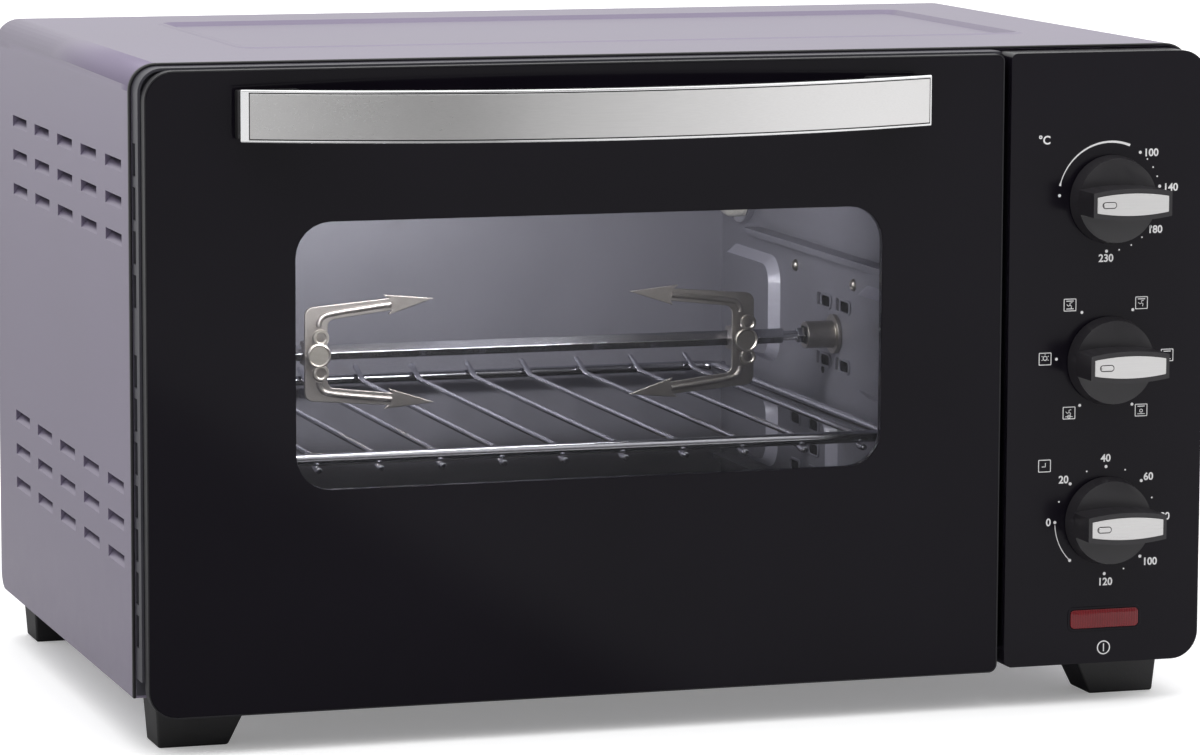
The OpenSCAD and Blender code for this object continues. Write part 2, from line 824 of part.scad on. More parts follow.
module hinge_pin_left() { hinge_pin(ear_xs[0]); }
module hinge_pin_right() { hinge_pin(ear_xs[1]); }

// Stay arm: a flat ring sector about the hinge line, fixed in the door's pan
module stay_arm(x) {
    color(bright) sideways(x - stay_thickness / 2, x + stay_thickness / 2) intersection() {
        translate([hinge_y, hinge_z]) difference() {
            circle(r = stay_radius + stay_width / 2, $fn = 96);
            circle(r = stay_radius - stay_width / 2, $fn = 96);
        }
        translate([hinge_y, hinge_z]) polygon([[0, 0],
            [100 * cos(stay_low_angle), 100 * sin(stay_low_angle)], [100, 100],
            [web_back_y - hinge_y, 100], [web_back_y - hinge_y, 0]]);
    }
}

module stay_arm_left() { stay_arm(stay_xs[0]); }
module stay_arm_right() { stay_arm(stay_xs[1]); }

// ---- Handle ----

// Bowed bar of a given depth, starting at the arc's radius less that depth
module bowed_bar(outer_r, depth, length, height, corner) {
    intersection() {
        translate([door_mid_x, front_y + handle_arc_y, handle_mid_z - height / 2 - cut])
            rotate([0, 0, -120]) rotate_extrude(angle = 60, $fn = 360)
                translate([outer_r - depth, 0]) square([depth, height + 2 * cut]);
        facing(-handle_reach - cut, door_face_y)
            rounded(door_mid_x - length / 2, door_mid_x + length / 2,
                handle_mid_z - height / 2, handle_mid_z + height / 2,
                [corner, corner, corner, corner]);
    }
}

module handle_rim() {
    color("#dadadc") difference() {
        bowed_bar(handle_arc_r, handle_depth, handle_length, handle_height, 4);
        bowed_bar(handle_arc_r + cut, cut + plate_depth, handle_length - 2 * plate_border - 4,
            handle_height - 2 * plate_border, 2.5);
    }
}

module handle_plate() {
    color("#b9b8bb") bowed_bar(handle_arc_r, plate_depth,
        handle_length - 2 * plate_border - 4, handle_height - 2 * plate_border, 2.5);
}

// A post fills the gap between the door face and the back of the bar
module handle_post(x) {
    color(black) difference() {
        box(x - post_length / 2, x + post_length / 2, -handle_reach, door_face_y,
            handle_mid_z - post_height / 2, handle_mid_z + post_height / 2);
        translate([door_mid_x, front_y + handle_arc_y, handle_mid_z - handle_height])
            rotate([0, 0, -120]) rotate_extrude(angle = 60, $fn = 360)
                translate([handle_arc_r - handle_depth, 0]) square([100, 2 * handle_height]);
    }
}

module handle_post_left() { handle_post(door_mid_x - post_offset); }
module handle_post_right() { handle_post(door_mid_x + post_offset); }

// ---- Cooking parts ----

module wire_rack() {
    color("#c9c7c6") {
        for (y = [rack_front_y, rack_back_y])
            rod_x(cavity_mid_x - rack_end_x, cavity_mid_x + rack_end_x, y, rack_z, end_rod_r);
        for (side = [-1, 1])
            rod_y(rack_front_y, rack_back_y, cavity_mid_x + side * (rack_end_x - 3.5),
                rack_z, side_rod_r);
        for (i = [0:wire_count - 1])
            rod_y(rack_front_y - 4, rack_back_y + 4,
                cavity_mid_x + (i - (wire_count - 1) / 2) * wire_pitch,
                rack_z + end_rod_r + 0.8, wire_r);
    }
}

tray_front_y = 6;
tray_height = 9;
tray_inset = 5;

module crumb_tray() {
    color("#8b8b90") difference() {
        box(cavity_left_x + tray_inset, cavity_right_x - tray_inset, tray_front_y,
            cavity_depth - 10, floor_top_z + slip, floor_top_z + slip + tray_height);
        box(cavity_left_x + tray_inset + 1, cavity_right_x - tray_inset - 1, tray_front_y + 1,
            cavity_depth - 11, floor_top_z + slip + 1, floor_top_z + tray_height + cut);
    }
}

module square_bar(x0, x1) {
    box(x0, x1, spit_y - spit_side / 2, spit_y + spit_side / 2,
        spit_z - spit_side / 2, spit_z + spit_side / 2);
}

module spit_bar() {
    color(bright) {
        square_bar(rest_x + 4, spit_right_x - 20);
        rod_x(spit_right_x - 20, spit_right_x - 13, spit_y, spit_z, neck_r);
        square_bar(spit_right_x - 13, spit_right_x);
        rod_x(rest_x - 4, rest_x + 4, spit_y, spit_z, neck_r);
        rod_x(spit_left_x, rest_x - 4, spit_y, spit_z, neck_r + 1);
    }
}

// Flat two-pronged fork with arrow tips, on a sleeve that slides along the bar
module fork(x, side) {
    color("#a59b93") difference() {
        union() {
            facing(spit_y - fork_thickness / 2, spit_y + fork_thickness / 2) {
                translate([x - 5.5, spit_z - fork_half]) square([11, 2 * fork_half]);
                for (prong = [-1, 1]) {
                    translate([x, spit_z + prong * (fork_half - 2.5)])
                        rotate(prong * side * fork_flare)
                        polygon([[0, -2.5], [side * (tine_length - 9), -2.5],
                            [side * (tine_length - 9), -4], [side * tine_length, 0],
                            [side * (tine_length - 9), 4], [side * (tine_length - 9), 2.5],
                            [0, 2.5]]);
                }
            }
            box(x - hub_length / 2, x + hub_length / 2, spit_y - hub_side / 2,
                spit_y + hub_side / 2, spit_z - hub_side / 2, spit_z + hub_side / 2);
        }
        square_hole(x);
        rod_y(spit_y - hub_side, spit_y, x, spit_z, screw_r + run_gap);
    }
}

module square_hole(x) {
    grow = spit_side / 2 + slip;
    box(x - 20, x + 20, spit_y - grow, spit_y + grow, spit_z - grow, spit_z + grow);
}

module fork_left() { fork(fork_left_x, 1); }
module fork_right() { fork(fork_right_x, -1); }

module ring(x, z, r, y0, y1) {
    difference() {
        rod_y(y0, y1, x, z, r);
        rod_y(y0 - cut, y1 + cut, x, z, r - 1.8);
    }
}

module thumbscrew(x) {
    head_y = spit_y - hub_side / 2 - slip;
    color(bright) {
        rod_y(head_y - 6, spit_y - spit_side / 2 - slip, x, spit_z, screw_r);
        rod_y(head_y - 6, head_y, x, spit_z, 5.5);
        for (wing = [-1, 1]) ring(x, spit_z + wing * 8, 4, head_y - 8, head_y - 5);
    }
}

module thumbscrew_left() { thumbscrew(fork_left_x); }
module thumbscrew_right() { thumbscrew(fork_right_x); }

outer_wrap();
base_plate();
back_panel();
front_frame();
cavity_left_wall();
cavity_right_wall();
cavity_back_wall();
cavity_ceiling();
cavity_floor();
control_panel();
control_bracket();
thermostat();
selector_switch();
timer();
indicator_lens();
foot_front_left();
foot_front_right();
foot_back_left();
foot_back_right();
rear_spacer_left();
rear_spacer_right();
cord_gland();
heater_top_front();
heater_top_back();
heater_bottom_front();
heater_bottom_back();
lamp_ring();
lamp_glass();
spit_rest();
rotisserie_motor();
fan_motor();
hinge_bracket_left();
hinge_bracket_right();
door_frame();
door_glass();
door_liner();
handle_rim();
handle_plate();
handle_post_left();
handle_post_right();
hinge_pin_left();
hinge_pin_right();
stay_arm_left();
stay_arm_right();
wire_rack();
crumb_tray();
drive_socket();
spit_bar();
fork_left();
fork_right();
thumbscrew_left();
thumbscrew_right();
fan_wheel();
temperature_knob();
temperature_insert();
function_knob();
function_insert();
timer_knob();
timer_insert();
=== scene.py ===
"""Rotisserie oven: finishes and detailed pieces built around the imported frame."""
import json
import math

import bmesh
import bpy
from bpy.props import FloatProperty, FloatVectorProperty, IntProperty, PointerProperty
from mathutils import Matrix, Vector
from mathutils.geometry import interpolate_bezier


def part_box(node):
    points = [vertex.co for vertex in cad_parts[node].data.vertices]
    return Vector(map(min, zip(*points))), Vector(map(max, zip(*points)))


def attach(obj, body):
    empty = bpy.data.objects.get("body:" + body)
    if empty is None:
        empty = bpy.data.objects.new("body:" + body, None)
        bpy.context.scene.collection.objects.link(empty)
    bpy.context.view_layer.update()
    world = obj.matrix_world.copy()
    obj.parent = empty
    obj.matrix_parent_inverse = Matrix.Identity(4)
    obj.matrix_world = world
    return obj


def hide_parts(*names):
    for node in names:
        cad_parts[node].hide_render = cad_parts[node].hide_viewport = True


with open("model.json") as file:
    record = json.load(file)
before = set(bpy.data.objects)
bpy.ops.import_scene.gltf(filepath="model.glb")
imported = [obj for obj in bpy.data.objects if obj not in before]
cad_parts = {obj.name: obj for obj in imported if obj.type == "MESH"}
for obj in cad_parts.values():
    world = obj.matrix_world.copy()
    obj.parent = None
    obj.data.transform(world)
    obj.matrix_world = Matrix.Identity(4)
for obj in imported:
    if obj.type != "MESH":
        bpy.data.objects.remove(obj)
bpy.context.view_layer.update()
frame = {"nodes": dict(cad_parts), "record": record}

bl_info = {
    "name": "Rotisserie Oven",
    "version": (1, 0, 0),
    "blender": (4, 2, 0),
    "location": "View3D > Sidebar > Oven",
    "description": "Builds the finishes and detailed pieces of a countertop rotisserie oven",
    "category": "Add Mesh",
}

MM = 0.001
FRONT = Vector((0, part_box("outer_wrap")[0].y, 0))   # front edge of the housing, where y is 0
BODY_OF = {n: body for body, nodes in frame["record"]["behaviour"]["bodies"].items() for n in nodes}
SLOT_OF = {part["node"]: part["material_slot"] for part in frame["record"]["subparts"]}
AXES = {"x": (1, 2, 0), "y": (0, 2, 1), "z": (0, 1, 2)}


def span(node):
    """Low and high corner of a CAD node in mm, with y counted from the housing's front edge."""
    low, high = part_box(node)
    return (low - FRONT) / MM, (high - FRONT) / MM


# ---------------------------------------------------------------- shader maths

class Value:
    """A socket that takes part in sums, so a mask can be written as 1 - mask."""

    def __init__(self, finish, socket):
        self.finish, self.socket = finish, socket

    def _sum(self, operation, first, second):
        return self.finish.node("ShaderNodeMath", {"operation": operation}, {0: first, 1: second})

    def __add__(self, other):
        return self._sum("ADD", self, other)

    def __radd__(self, other):
        return self._sum("ADD", other, self)

    def __sub__(self, other):
        return self._sum("SUBTRACT", self, other)

    def __rsub__(self, other):
        return self._sum("SUBTRACT", other, self)

    def __mul__(self, other):
        return self._sum("MULTIPLY", self, other)

    def __rmul__(self, other):
        return self._sum("MULTIPLY", other, self)


class NodeTree:
    """Adds nodes to one node tree; settings come first, then the sockets."""

    def __init__(self, tree):
        self.tree = tree
        tree.nodes.clear()

    def node(self, kind, settings=None, inputs=None, output=0):
        made = self.tree.nodes.new(kind)
        for key, value in (settings or {}).items():
            setattr(made, key, value)
        for key, value in (inputs or {}).items():
            self.feed(made.inputs[key], value)
        return Value(self, made.outputs[output])

    def feed(self, socket, value):
        if isinstance(value, Value):
            self.tree.links.new(value.socket, socket)
        elif socket.type == "RGBA" and len(value) == 3:
            socket.default_value = (*value, 1)
        else:
            socket.default_value = value

    def mix(self, factor, low, high):
        """A colour between low and high."""
        return self.node("ShaderNodeMix", {"data_type": "RGBA"}, {0: factor, 6: low, 7: high}, 2)

    def between(self, value, low, high, to_low=0.0, to_high=1.0):
        """The value's place between low and high, eased and put on another scale."""
        return self.node("ShaderNodeMapRange", {"interpolation_type": "SMOOTHSTEP"},
                         {0: value, 1: low, 2: high, 3: to_low, 4: to_high})


class Finish(NodeTree):
    """A procedural material: one Principled shader and what feeds it."""

    def __init__(self, name):
        self.material = bpy.data.materials.new("oven_" + name)
        self.material.use_nodes = True
        super().__init__(self.material.node_tree)
        self.surface = self.tree.nodes.new("ShaderNodeBsdfPrincipled")
        end = self.tree.nodes.new("ShaderNodeOutputMaterial")
        self.tree.links.new(self.surface.outputs[0], end.inputs[0])
        self.place = self.node("ShaderNodeTexCoord", output=3)

    def axis(self, index):
        """One coordinate of the place, in metres."""
        return self.node("ShaderNodeSeparateXYZ", None, {0: self.place}, index)

    def noise(self, scale, detail=2.0, stretch=(1, 1, 1), roughness=0.5):
        """Noise from 0 to 1, with a finer grain across the axes whose stretch is high."""
        place = self.node("ShaderNodeMapping", None, {0: self.place, 3: tuple(scale * s for s in stretch)})
        return self.node("ShaderNodeTexNoise", None,
                         {"Vector": place, "Scale": 1.0, "Detail": detail, "Roughness": roughness})

    def bump(self, height, strength, distance):
        """A Normal from a height."""
        return self.node("ShaderNodeBump", None, {"Strength": strength, "Distance": distance, "Height": height})

    def set(self, **values):
        """Sockets of the shader by name, with _ for a space."""
        for key, value in values.items():
            socket = next(s for s in self.surface.inputs if s.name.lower().replace(" ", "_") == key)
            self.feed(socket, value)
        return self.material


def shade(colour, by):
    return tuple(c * by for c in colour)


def coated(name, low, high, grain, cloud, share, roughness, spread, depth, distance=0.0002, **extra):
    """A painted or moulded surface. Grain and cloud are (scale, detail); share is the grain's part in it."""
    f = Finish(name)
    grain, cloud = f.noise(*grain), f.noise(*cloud)
    tone = grain * share + cloud * (1 - share) if share else cloud
    return f.set(base_color=f.mix(tone, low, high), roughness=roughness + cloud * spread,
                 normal=f.bump(grain, depth, distance), **extra)


def metal(name, low, high, roughness, brush, scale, depth, smear=0.1):
    """A bare metal: a brushed or rolled grain, a slow change of tone and light smears."""
    f = Finish(name)
    grain, cloud = f.noise(scale, 3, brush), f.noise(14, 5)
    return f.set(base_color=f.mix(grain * 0.5 + cloud * 0.5, low, high), metallic=1.0,
                 roughness=roughness + grain * smear + cloud * smear, normal=f.bump(grain, depth, 0.0002))


def silver_paint(oven):
    f = Finish("silver_paint")
    flake, cloud, dust = f.noise(2600, 1), f.noise(9, 4), f.noise(60, 6, roughness=0.7)
    tone = f.mix(flake * 0.5 + cloud * 0.5, shade(oven.wrap_colour, 0.86), shade(oven.wrap_colour, 1.14))
    low = f.between(f.axis(2), 0.02, 0.11, 0.16, 0.0)
    return f.set(base_color=f.mix(low * dust, tone, (0.62, 0.60, 0.60)), metallic=0.45,
                 roughness=0.34 + flake * 0.12 + cloud * 0.06, coat_weight=0.35, coat_roughness=0.22,
                 normal=f.bump(flake * 0.6 + f.noise(420, 2) * 0.4, 0.10, 0.0002))


def grey_enamel(oven):
    f = Finish("grey_enamel")
    speck, peel, cloud = f.noise(1500, 2), f.noise(260, 2), f.noise(12, 5)
    tone = f.mix(speck * 0.45 + cloud * 0.55, shade(oven.enamel_colour, 0.78), shade(oven.enamel_colour, 1.2))
    stain = f.between(f.noise(34, 6, roughness=0.65), 0.58, 0.8, 0.0, 0.35)
    # Darker towards the bottom of the walls: near black below about 80 mm, fading out by about 104 mm.
    lower_darkening = f.between(f.axis(2) + cloud * 0.012, 0.080, 0.104, 0.97, 0.0)
    tone = f.mix(stain, tone, (0.12, 0.10, 0.10))
    return f.set(base_color=f.mix(lower_darkening, tone, (0.006, 0.005, 0.006)), metallic=0.25,
                 roughness=0.30 + cloud * 0.14, normal=f.bump(peel, 0.16, 0.0004))


# A lighter copy of the cavity enamel: a painted highlight for the pad slopes that face the front.
def bright_enamel(oven):
    low, high = shade(oven.enamel_colour, 1.5), shade(oven.enamel_colour, 2.3)
    return coated("bright_enamel", low, high, (900, 1), (30, 3), 0, 0.34, 0.08, 0.1, metallic=0.15,
                  coat_weight=0.3)


# Near black, with almost no gloss: painted shade for what lies inside a hole.
def open_hole(oven):
    f = Finish("open_hole")
    return f.set(base_color=f.mix(f.noise(300, 2), (0.001, 0.001, 0.001), (0.005, 0.004, 0.005)),
                 roughness=0.85, specular_ior_level=0.05)


def black_gloss(oven):
    f = Finish("black_gloss")
    peel, smear = f.noise(380, 2), f.noise(24, 5)
    return f.set(base_color=f.mix(smear, shade(oven.black_colour, 0.8), shade(oven.black_colour, 1.3)),
                 roughness=0.17 + smear * 0.10, specular_ior_level=0.16, normal=f.bump(peel, 0.05, 0.0002))


def red_lens(oven):
    f = Finish("red_lens")
    ribs = f.node("ShaderNodeTexWave", {"wave_type": "BANDS", "bands_direction": "X"},
                  {"Vector": f.place, "Scale": 260.0, "Distortion": 0.0})
    haze = f.noise(90, 4)
    tone = f.mix(haze * 0.5 + ribs * 0.3, shade(oven.lens_colour, 0.55), shade(oven.lens_colour, 1.5))
    return f.set(base_color=tone, roughness=0.16 + haze * 0.14, coat_weight=0.25, coat_roughness=0.08,
                 specular_ior_level=0.3, normal=f.bump(ribs, 0.35, 0.0003))


def heater_steel(oven):
    f = Finish("heater_steel")
    grain, heat = f.noise(500, 4), f.noise(16, 3)
    tone = f.mix(heat, (0.10, 0.095, 0.09), (0.24, 0.20, 0.17))
    return f.set(base_color=f.mix(grain * 0.4, tone, (0.30, 0.28, 0.30)), metallic=0.85,
                 roughness=0.38 + grain * 0.2, normal=f.bump(grain, 0.25, 0.0002))


def black_glass(oven):
    f = Finish("black_glass")
    smear, wave = f.noise(11, 5, roughness=0.6), f.noise(3.5, 1)
    return f.set(base_color=f.mix(smear, shade(oven.black_colour, 0.7), shade(oven.black_colour, 1.2)),
                 roughness=0.05 + smear * 0.07, specular_ior_level=0.13, normal=f.bump(wave, 0.05, 0.002))


def clear_glass(oven):
    f = Finish("clear_glass")
    smear = f.noise(9, 6, (1, 1, 0.6), 0.65)
    film = f.between(smear, 0.45, 0.8, 0.10, 0.17)
    return f.set(base_color=(0.05, 0.05, 0.06), roughness=0.03 + smear * 0.05, alpha=film,
                 normal=f.bump(f.noise(4, 1), 0.03, 0.002))


def lamp_glass(oven):
    f = Finish("lamp_glass")
    frost, cloud = f.noise(900, 2), f.noise(40, 3)
    return f.set(base_color=f.mix(cloud, (0.55, 0.54, 0.50), (0.74, 0.72, 0.68)), roughness=0.18 + frost * 0.2,
                 coat_weight=0.5, normal=f.bump(frost, 0.2, 0.0002))


def print_ink(oven):
    f = Finish("print_ink")
    grain = f.noise(1600, 2)
    return f.set(base_color=f.mix(grain, (0.62, 0.61, 0.62), (0.80, 0.79, 0.80)), roughness=0.5 + grain * 0.2)


def floor_paint(stage):
    """Pale to the eye; in reflections it is a studio floor with darker and lighter cards laid on it."""
    f = Finish("floor_paint")
    cloud, across = f.noise(1.5, 3), f.axis(0)
    seen = f.node("ShaderNodeLightPath")
    mirrored = f.node("ShaderNodeLightPath", output=3)
    cards = 0.86 - f.between(across, -1.15, -0.95) * 0.54 + f.between(across, -0.02, 0.06) * 0.34
    cards = cards + f.between(across, 0.1, 1.4) * 0.22
    pale = f.mix(cloud, shade(stage.floor_colour, 0.985), stage.floor_colour)
    carded = f.mix(cards, (0, 0, 0), (1, 1, 1))
    return f.set(base_color=f.mix(mirrored, pale, carded), roughness=0.65, specular_ior_level=0.2,
                 emission_color=f.mix(seen, (0, 0, 0), (1, 1, 1)), emission_strength=0.24)


FINISHES = {finish.__name__: finish for finish in (
    silver_paint, grey_enamel, bright_enamel, open_hole, black_gloss, red_lens, heater_steel, black_glass,
    clear_glass, lamp_glass, print_ink)}

# name: tones, grain, cloud, share, roughness and its spread, depth of the grain; then what is unusual
COATS = {
    "baked_black": (((0.005, 0.005, 0.006), (0.016, 0.014, 0.015), (1300, 2), (22, 5), 0.4, 0.34, 0.2, 0.2),
                    {"distance": 0.0003, "specular_ior_level": 0.3}),
    "black_plastic": (((0.008, 0.008, 0.009), (0.021, 0.020, 0.022), (1100, 3), (20, 4), 0.4, 0.40, 0.14, 0.35),
                      {}),
    "knob_plastic": (((0.012, 0.011, 0.013), (0.024, 0.022, 0.026), (1900, 2), (40, 4), 0, 0.30, 0.12, 0.14),
                     {"distance": 0.0001}),
    "switch_plastic": (((0.52, 0.50, 0.44), (0.66, 0.64, 0.58), (700, 3), (26, 4), 0, 0.38, 0.15, 0.2), {}),
    "dark_steel": (((0.007, 0.007, 0.009), (0.016, 0.015, 0.019), (900, 3), (18, 4), 0, 0.36, 0.12, 0.12),
                   {"metallic": 0.2}),
    "flange_paint": (((0.050, 0.049, 0.060), (0.085, 0.083, 0.100), (2200, 1), (16, 4), 0.4, 0.36, 0.1, 0.1),
                     {"metallic": 0.4}),
}

# name: tones, roughness, how far the grain is stretched along each axis, its scale and depth, smears
METALS = {
    "rack_wire": ((0.36, 0.36, 0.40), (0.62, 0.62, 0.66), 0.10, (1, 1, 1), 500, 0.05, 0.10),
    "spit_steel": ((0.50, 0.50, 0.53), (0.74, 0.74, 0.77), 0.13, (0.05, 1, 1), 900, 0.06, 0.08),
    "warm_steel": ((0.27, 0.25, 0.24), (0.42, 0.395, 0.38), 0.30, (1, 1, 1), 420, 0.14, 0.10),
    "plain_steel": ((0.30, 0.28, 0.25), (0.56, 0.53, 0.49), 0.26, (0.25, 1, 1), 700, 0.10),
    "chrome_trim": ((0.66, 0.66, 0.67), (0.86, 0.86, 0.87), 0.06, (1, 1, 1), 300, 0.02, 0.06),
    "brushed_trim": ((0.62, 0.61, 0.61), (0.80, 0.79, 0.79), 0.20, (0.012, 1, 1.4), 2400, 0.12),
}


def finish_of(name):
    """The material of that name, made the first time it is asked for."""
    found = bpy.data.materials.get("oven_" + name)
    if found:
        return found
    if name in METALS:
        return metal(name, *METALS[name])
    if name in COATS:
        values, extra = COATS[name]
        return coated(name, *values, **extra)
    return FINISHES[name](bpy.context.scene.oven_finish)


# ---------------------------------------------------------------- mesh helpers

def round_corners(bm, verts, radius, steps):
    bmesh.ops.bevel(bm, geom=verts, offset=radius, offset_type="OFFSET", affect="VERTICES", segments=steps,
                    profile=0.5, material=-1)


def rounded(bm, axis, low, high, level, radii, steps=6):
    """A flat face with rounded corners, square to an axis. Radii go round from the low corner."""
    u, v, w = AXES[axis]
    verts = []
    for a, b in ((low[0], low[1]), (high[0], low[1]), (high[0], high[1]), (low[0], high[1])):
        place = [0, 0, 0]
        place[u], place[v], place[w] = a, b, level
        verts.append(bm.verts.new(place))
    before = set(bm.faces)
    bm.faces.new(verts)
    radii = radii if hasattr(radii, "__len__") else [radii] * 4
    for vert, radius in zip(verts, radii):
        if radius:
            round_corners(bm, [vert], radius, steps)
    return next(f for f in bm.faces if f not in before)


def raise_faces(bm, faces, by):
    """Extrudes faces by a vector and gives the moved faces."""
    made = bmesh.ops.extrude_face_region(bm, geom=list(faces))["geom"]
    bmesh.ops.translate(bm, verts=[g for g in made if isinstance(g, bmesh.types.BMVert)], vec=by)
    return [g for g in made if isinstance(g, bmesh.types.BMFace)]


def plate(bm, axis, low, high, levels, radii=0, steps=6):
    """A plate with rounded corners between two levels of an axis; gives its far face."""
    face = rounded(bm, axis, low, high, levels[0], radii, steps)
    by = [0, 0, 0]
    by[AXES[axis][2]] = levels[1] - levels[0]
    return raise_faces(bm, [face], by)[0]


def loop_of(bm, *outline):
    """The edges of a rounded outline, without its face."""
    face = rounded(bm, *outline)
    edges = list(face.edges)
    bmesh.ops.delete(bm, geom=[face], context="FACES_ONLY")
    return edges


def ring_plate(bm, axis, outer, inner, levels):
    """A plate with a rounded opening. Outer and inner are (low, high, radii)."""
    edges = loop_of(bm, axis, outer[0], outer[1], levels[0], outer[2])
    edges += loop_of(bm, axis, inner[0], inner[1], levels[0], inner[2])
    faces = bmesh.ops.bridge_loops(bm, edges=edges)["faces"]
    by = [0, 0, 0]
    by[AXES[axis][2]] = levels[1] - levels[0]
    return raise_faces(bm, faces, by)


def slab(bm, axis, mid, half, levels, radii=0, steps=6):
    """A plate given by its middle and half its size."""
    low, high = [m - h for m, h in zip(mid, half)], [m + h for m, h in zip(mid, half)]
    return plate(bm, axis, low, high, levels, radii, steps)


def rim(bm, axis, mid, outer, inner, radii, levels):
    """A flat rim round a middle; outer and inner are half its sizes."""
    outlines = [([m - h for m, h in zip(mid, half)], [m + h for m, h in zip(mid, half)], radius)
                for half, radius in zip((outer, inner), radii)]
    return ring_plate(bm, axis, *outlines, levels)


def rod(bm, start, end, radius, steps=20):
    """A round rod between two points; few steps make it a bar."""
    start, end = Vector(start), Vector(end)
    along = end - start
    place = Matrix.Translation((start + end) / 2) @ along.to_track_quat("Z", "Y").to_matrix().to_4x4()
    bmesh.ops.create_cone(bm, cap_ends=True, segments=steps, radius1=radius, depth=along.length,
                          radius2=radius, matrix=place)


def turned(bm, axis, centre, profile, steps=48):
    """A shape turned round an axis from (radius, level) points."""
    u, v, w = AXES[axis]
    verts = []
    for radius, level in profile:
        place = [0, 0, 0]
        place[u], place[v], place[w] = centre[0] + radius, centre[1], level
        verts.append(bm.verts.new(place))
    edges = [bm.edges.new(pair) for pair in zip(verts, verts[1:])]
    middle, along = [0, 0, 0], [0, 0, 0]
    middle[u], middle[v], along[w] = centre[0], centre[1], 1
    bmesh.ops.spin(bm, geom=verts + edges, cent=middle, axis=along, dvec=(0, 0, 0), angle=math.tau,
                   steps=steps, use_merge=True)
    bmesh.ops.remove_doubles(bm, verts=bm.verts, dist=0.0005)


def add_curve(bm, curve, place=Matrix.Identity(4)):
    """Adds a curve's mesh to a bmesh and removes the curve."""
    holder = bpy.data.objects.new("curve", curve)
    mesh = bpy.data.meshes.new_from_object(holder)
    mesh.transform(place)
    bm.from_mesh(mesh)
    bpy.data.objects.remove(holder)
    bpy.data.curves.remove(curve)
    bpy.data.meshes.remove(mesh)


def cut(bm, faces, axis, at):
    """Cuts faces with the plane where the axis, 0 to 2, has the value at."""
    place, across = [0, 0, 0], [0, 0, 0]
    place[axis], across[axis] = at, 1
    geom = dict.fromkeys([*faces, *(e for f in faces for e in f.edges), *(v for f in faces for v in f.verts)])
    bmesh.ops.bisect_plane(bm, geom=list(geom), plane_co=place, plane_no=across)


def wire(bm, points, radius, corner=0.0, sides=3):
    """A bent wire through points, with its corners rounded."""
    points = [Vector(p) for p in points]
    path = [points[0]]
    for before, here, after in zip(points, points[1:], points[2:]):
        a = here + (before - here).normalized() * corner
        b = here + (after - here).normalized() * corner
        path += interpolate_bezier(a, here.lerp(a, 0.45), here.lerp(b, 0.45), b, 6)
    path.append(points[-1])
    curve = bpy.data.curves.new("wire", "CURVE")
    curve.dimensions, curve.bevel_depth, curve.bevel_resolution = "3D", radius, sides
    curve.use_fill_caps = True
    spline = curve.splines.new("POLY")
    spline.points.add(len(path) - 1)
    for point, place in zip(spline.points, path):
        point.co = (*place, 1)
    add_curve(bm, curve)


def make(bm, name, body, slot, finish=None, soft=0.0, smooth=32, stands_for=(), wall=0.0, from_cad=False):
    """Turns a bmesh, in mm unless it comes from CAD, into a finished piece that rides on a body."""
    if wall:
        bmesh.ops.remove_doubles(bm, verts=bm.verts, dist=0.0005)
    if not from_cad:
        bmesh.ops.recalc_face_normals(bm, faces=bm.faces)
        bm.transform(Matrix.Translation(FRONT) @ Matrix.Scale(MM, 4))
    mesh = bpy.data.meshes.new(name)
    bm.to_mesh(mesh)
    bm.free()
    mesh.shade_smooth()
    mesh.set_sharp_from_angle(angle=math.radians(smooth))
    piece = bpy.data.objects.new(name, mesh)
    bpy.context.scene.collection.objects.link(piece)
    if wall:
        thick = piece.modifiers.new("wall", "SOLIDIFY")
        thick.thickness, thick.offset = wall * MM, -1
    if soft:
        edge = piece.modifiers.new("edge", "BEVEL")
        edge.width, edge.segments, edge.limit_method = soft * MM, 3, "ANGLE"
        edge.angle_limit, edge.harden_normals = math.radians(smooth - 2), True
    mesh.materials.append(finish_of(finish or slot))
    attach(piece, body)
    if stands_for:
        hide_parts(*stands_for)
    return piece


def refined(node, finish=None, soft=0.4, extra=None, smooth=32):
    """A piece from a merged copy of a CAD node, with softened edges and, if given, added detail."""
    bm = bmesh.new()
    bm.from_mesh(frame["nodes"][node].data)
    bmesh.ops.remove_doubles(bm, verts=bm.verts, dist=0.00001)
    bmesh.ops.dissolve_limit(bm, angle_limit=math.radians(0.6), verts=bm.verts, edges=bm.edges)
    if extra:
        bm.transform(Matrix.Scale(1 / MM, 4) @ Matrix.Translation(-FRONT))
        extra(bm)
        bm.transform(Matrix.Translation(FRONT) @ Matrix.Scale(MM, 4))
    return make(bm, node + "_piece", BODY_OF[node], SLOT_OF[node], finish, soft, smooth, (node,), from_cad=True)


# ---------------------------------------------------------------- sizes and colours a user would change

def tint(name, text, colour):
    return FloatVectorProperty(name=name, description=text, subtype="COLOR", size=3, default=colour,
                               min=0, max=1)


def number(name, text, value, low, high, unit="NONE"):
    return FloatProperty(name=name, description=text, default=value, min=low, max=high, unit=unit)


class OvenFinish(bpy.types.PropertyGroup):
    """Colours of the oven's painted and moulded surfaces."""

    wrap_colour: tint("Wrap", "Paint of the outer wrap", (0.212, 0.182, 0.262))
    enamel_colour: tint("Enamel", "Grey of the cavity", (0.205, 0.203, 0.240))
    black_colour: tint("Black", "Door border and control panel", (0.0050, 0.0040, 0.0068))
    lens_colour: tint("Lens", "Red of the indicator lens", (0.150, 0.008, 0.012))


class OvenSizes(bpy.types.PropertyGroup):
    """Small sizes that the CAD frame doesn't hold."""

    soft_edge: number("Soft edge", "Rounding of pressed and moulded edges, in mm", 0.5, 0.1, 1.5)
    louvre_depth: number("Louvre depth", "How far a louvre is pressed in, in mm", 4.2, 1, 8)
    recess_depth: number("Top recess", "Depth of the pressed top panel, in mm", 1.7, 0.4, 3)
    pad_height: number("Wall pads", "How far the pressed wall pads stand in, in mm", 5.0, 0.5, 8.0)
    print_thickness: number("Print", "Thickness of the printed marks, in mm", 0.06, 0.02, 0.3)
    round_steps: IntProperty(name="Round steps", description="Faces in a rounded corner", default=8,
                             min=3, max=24)


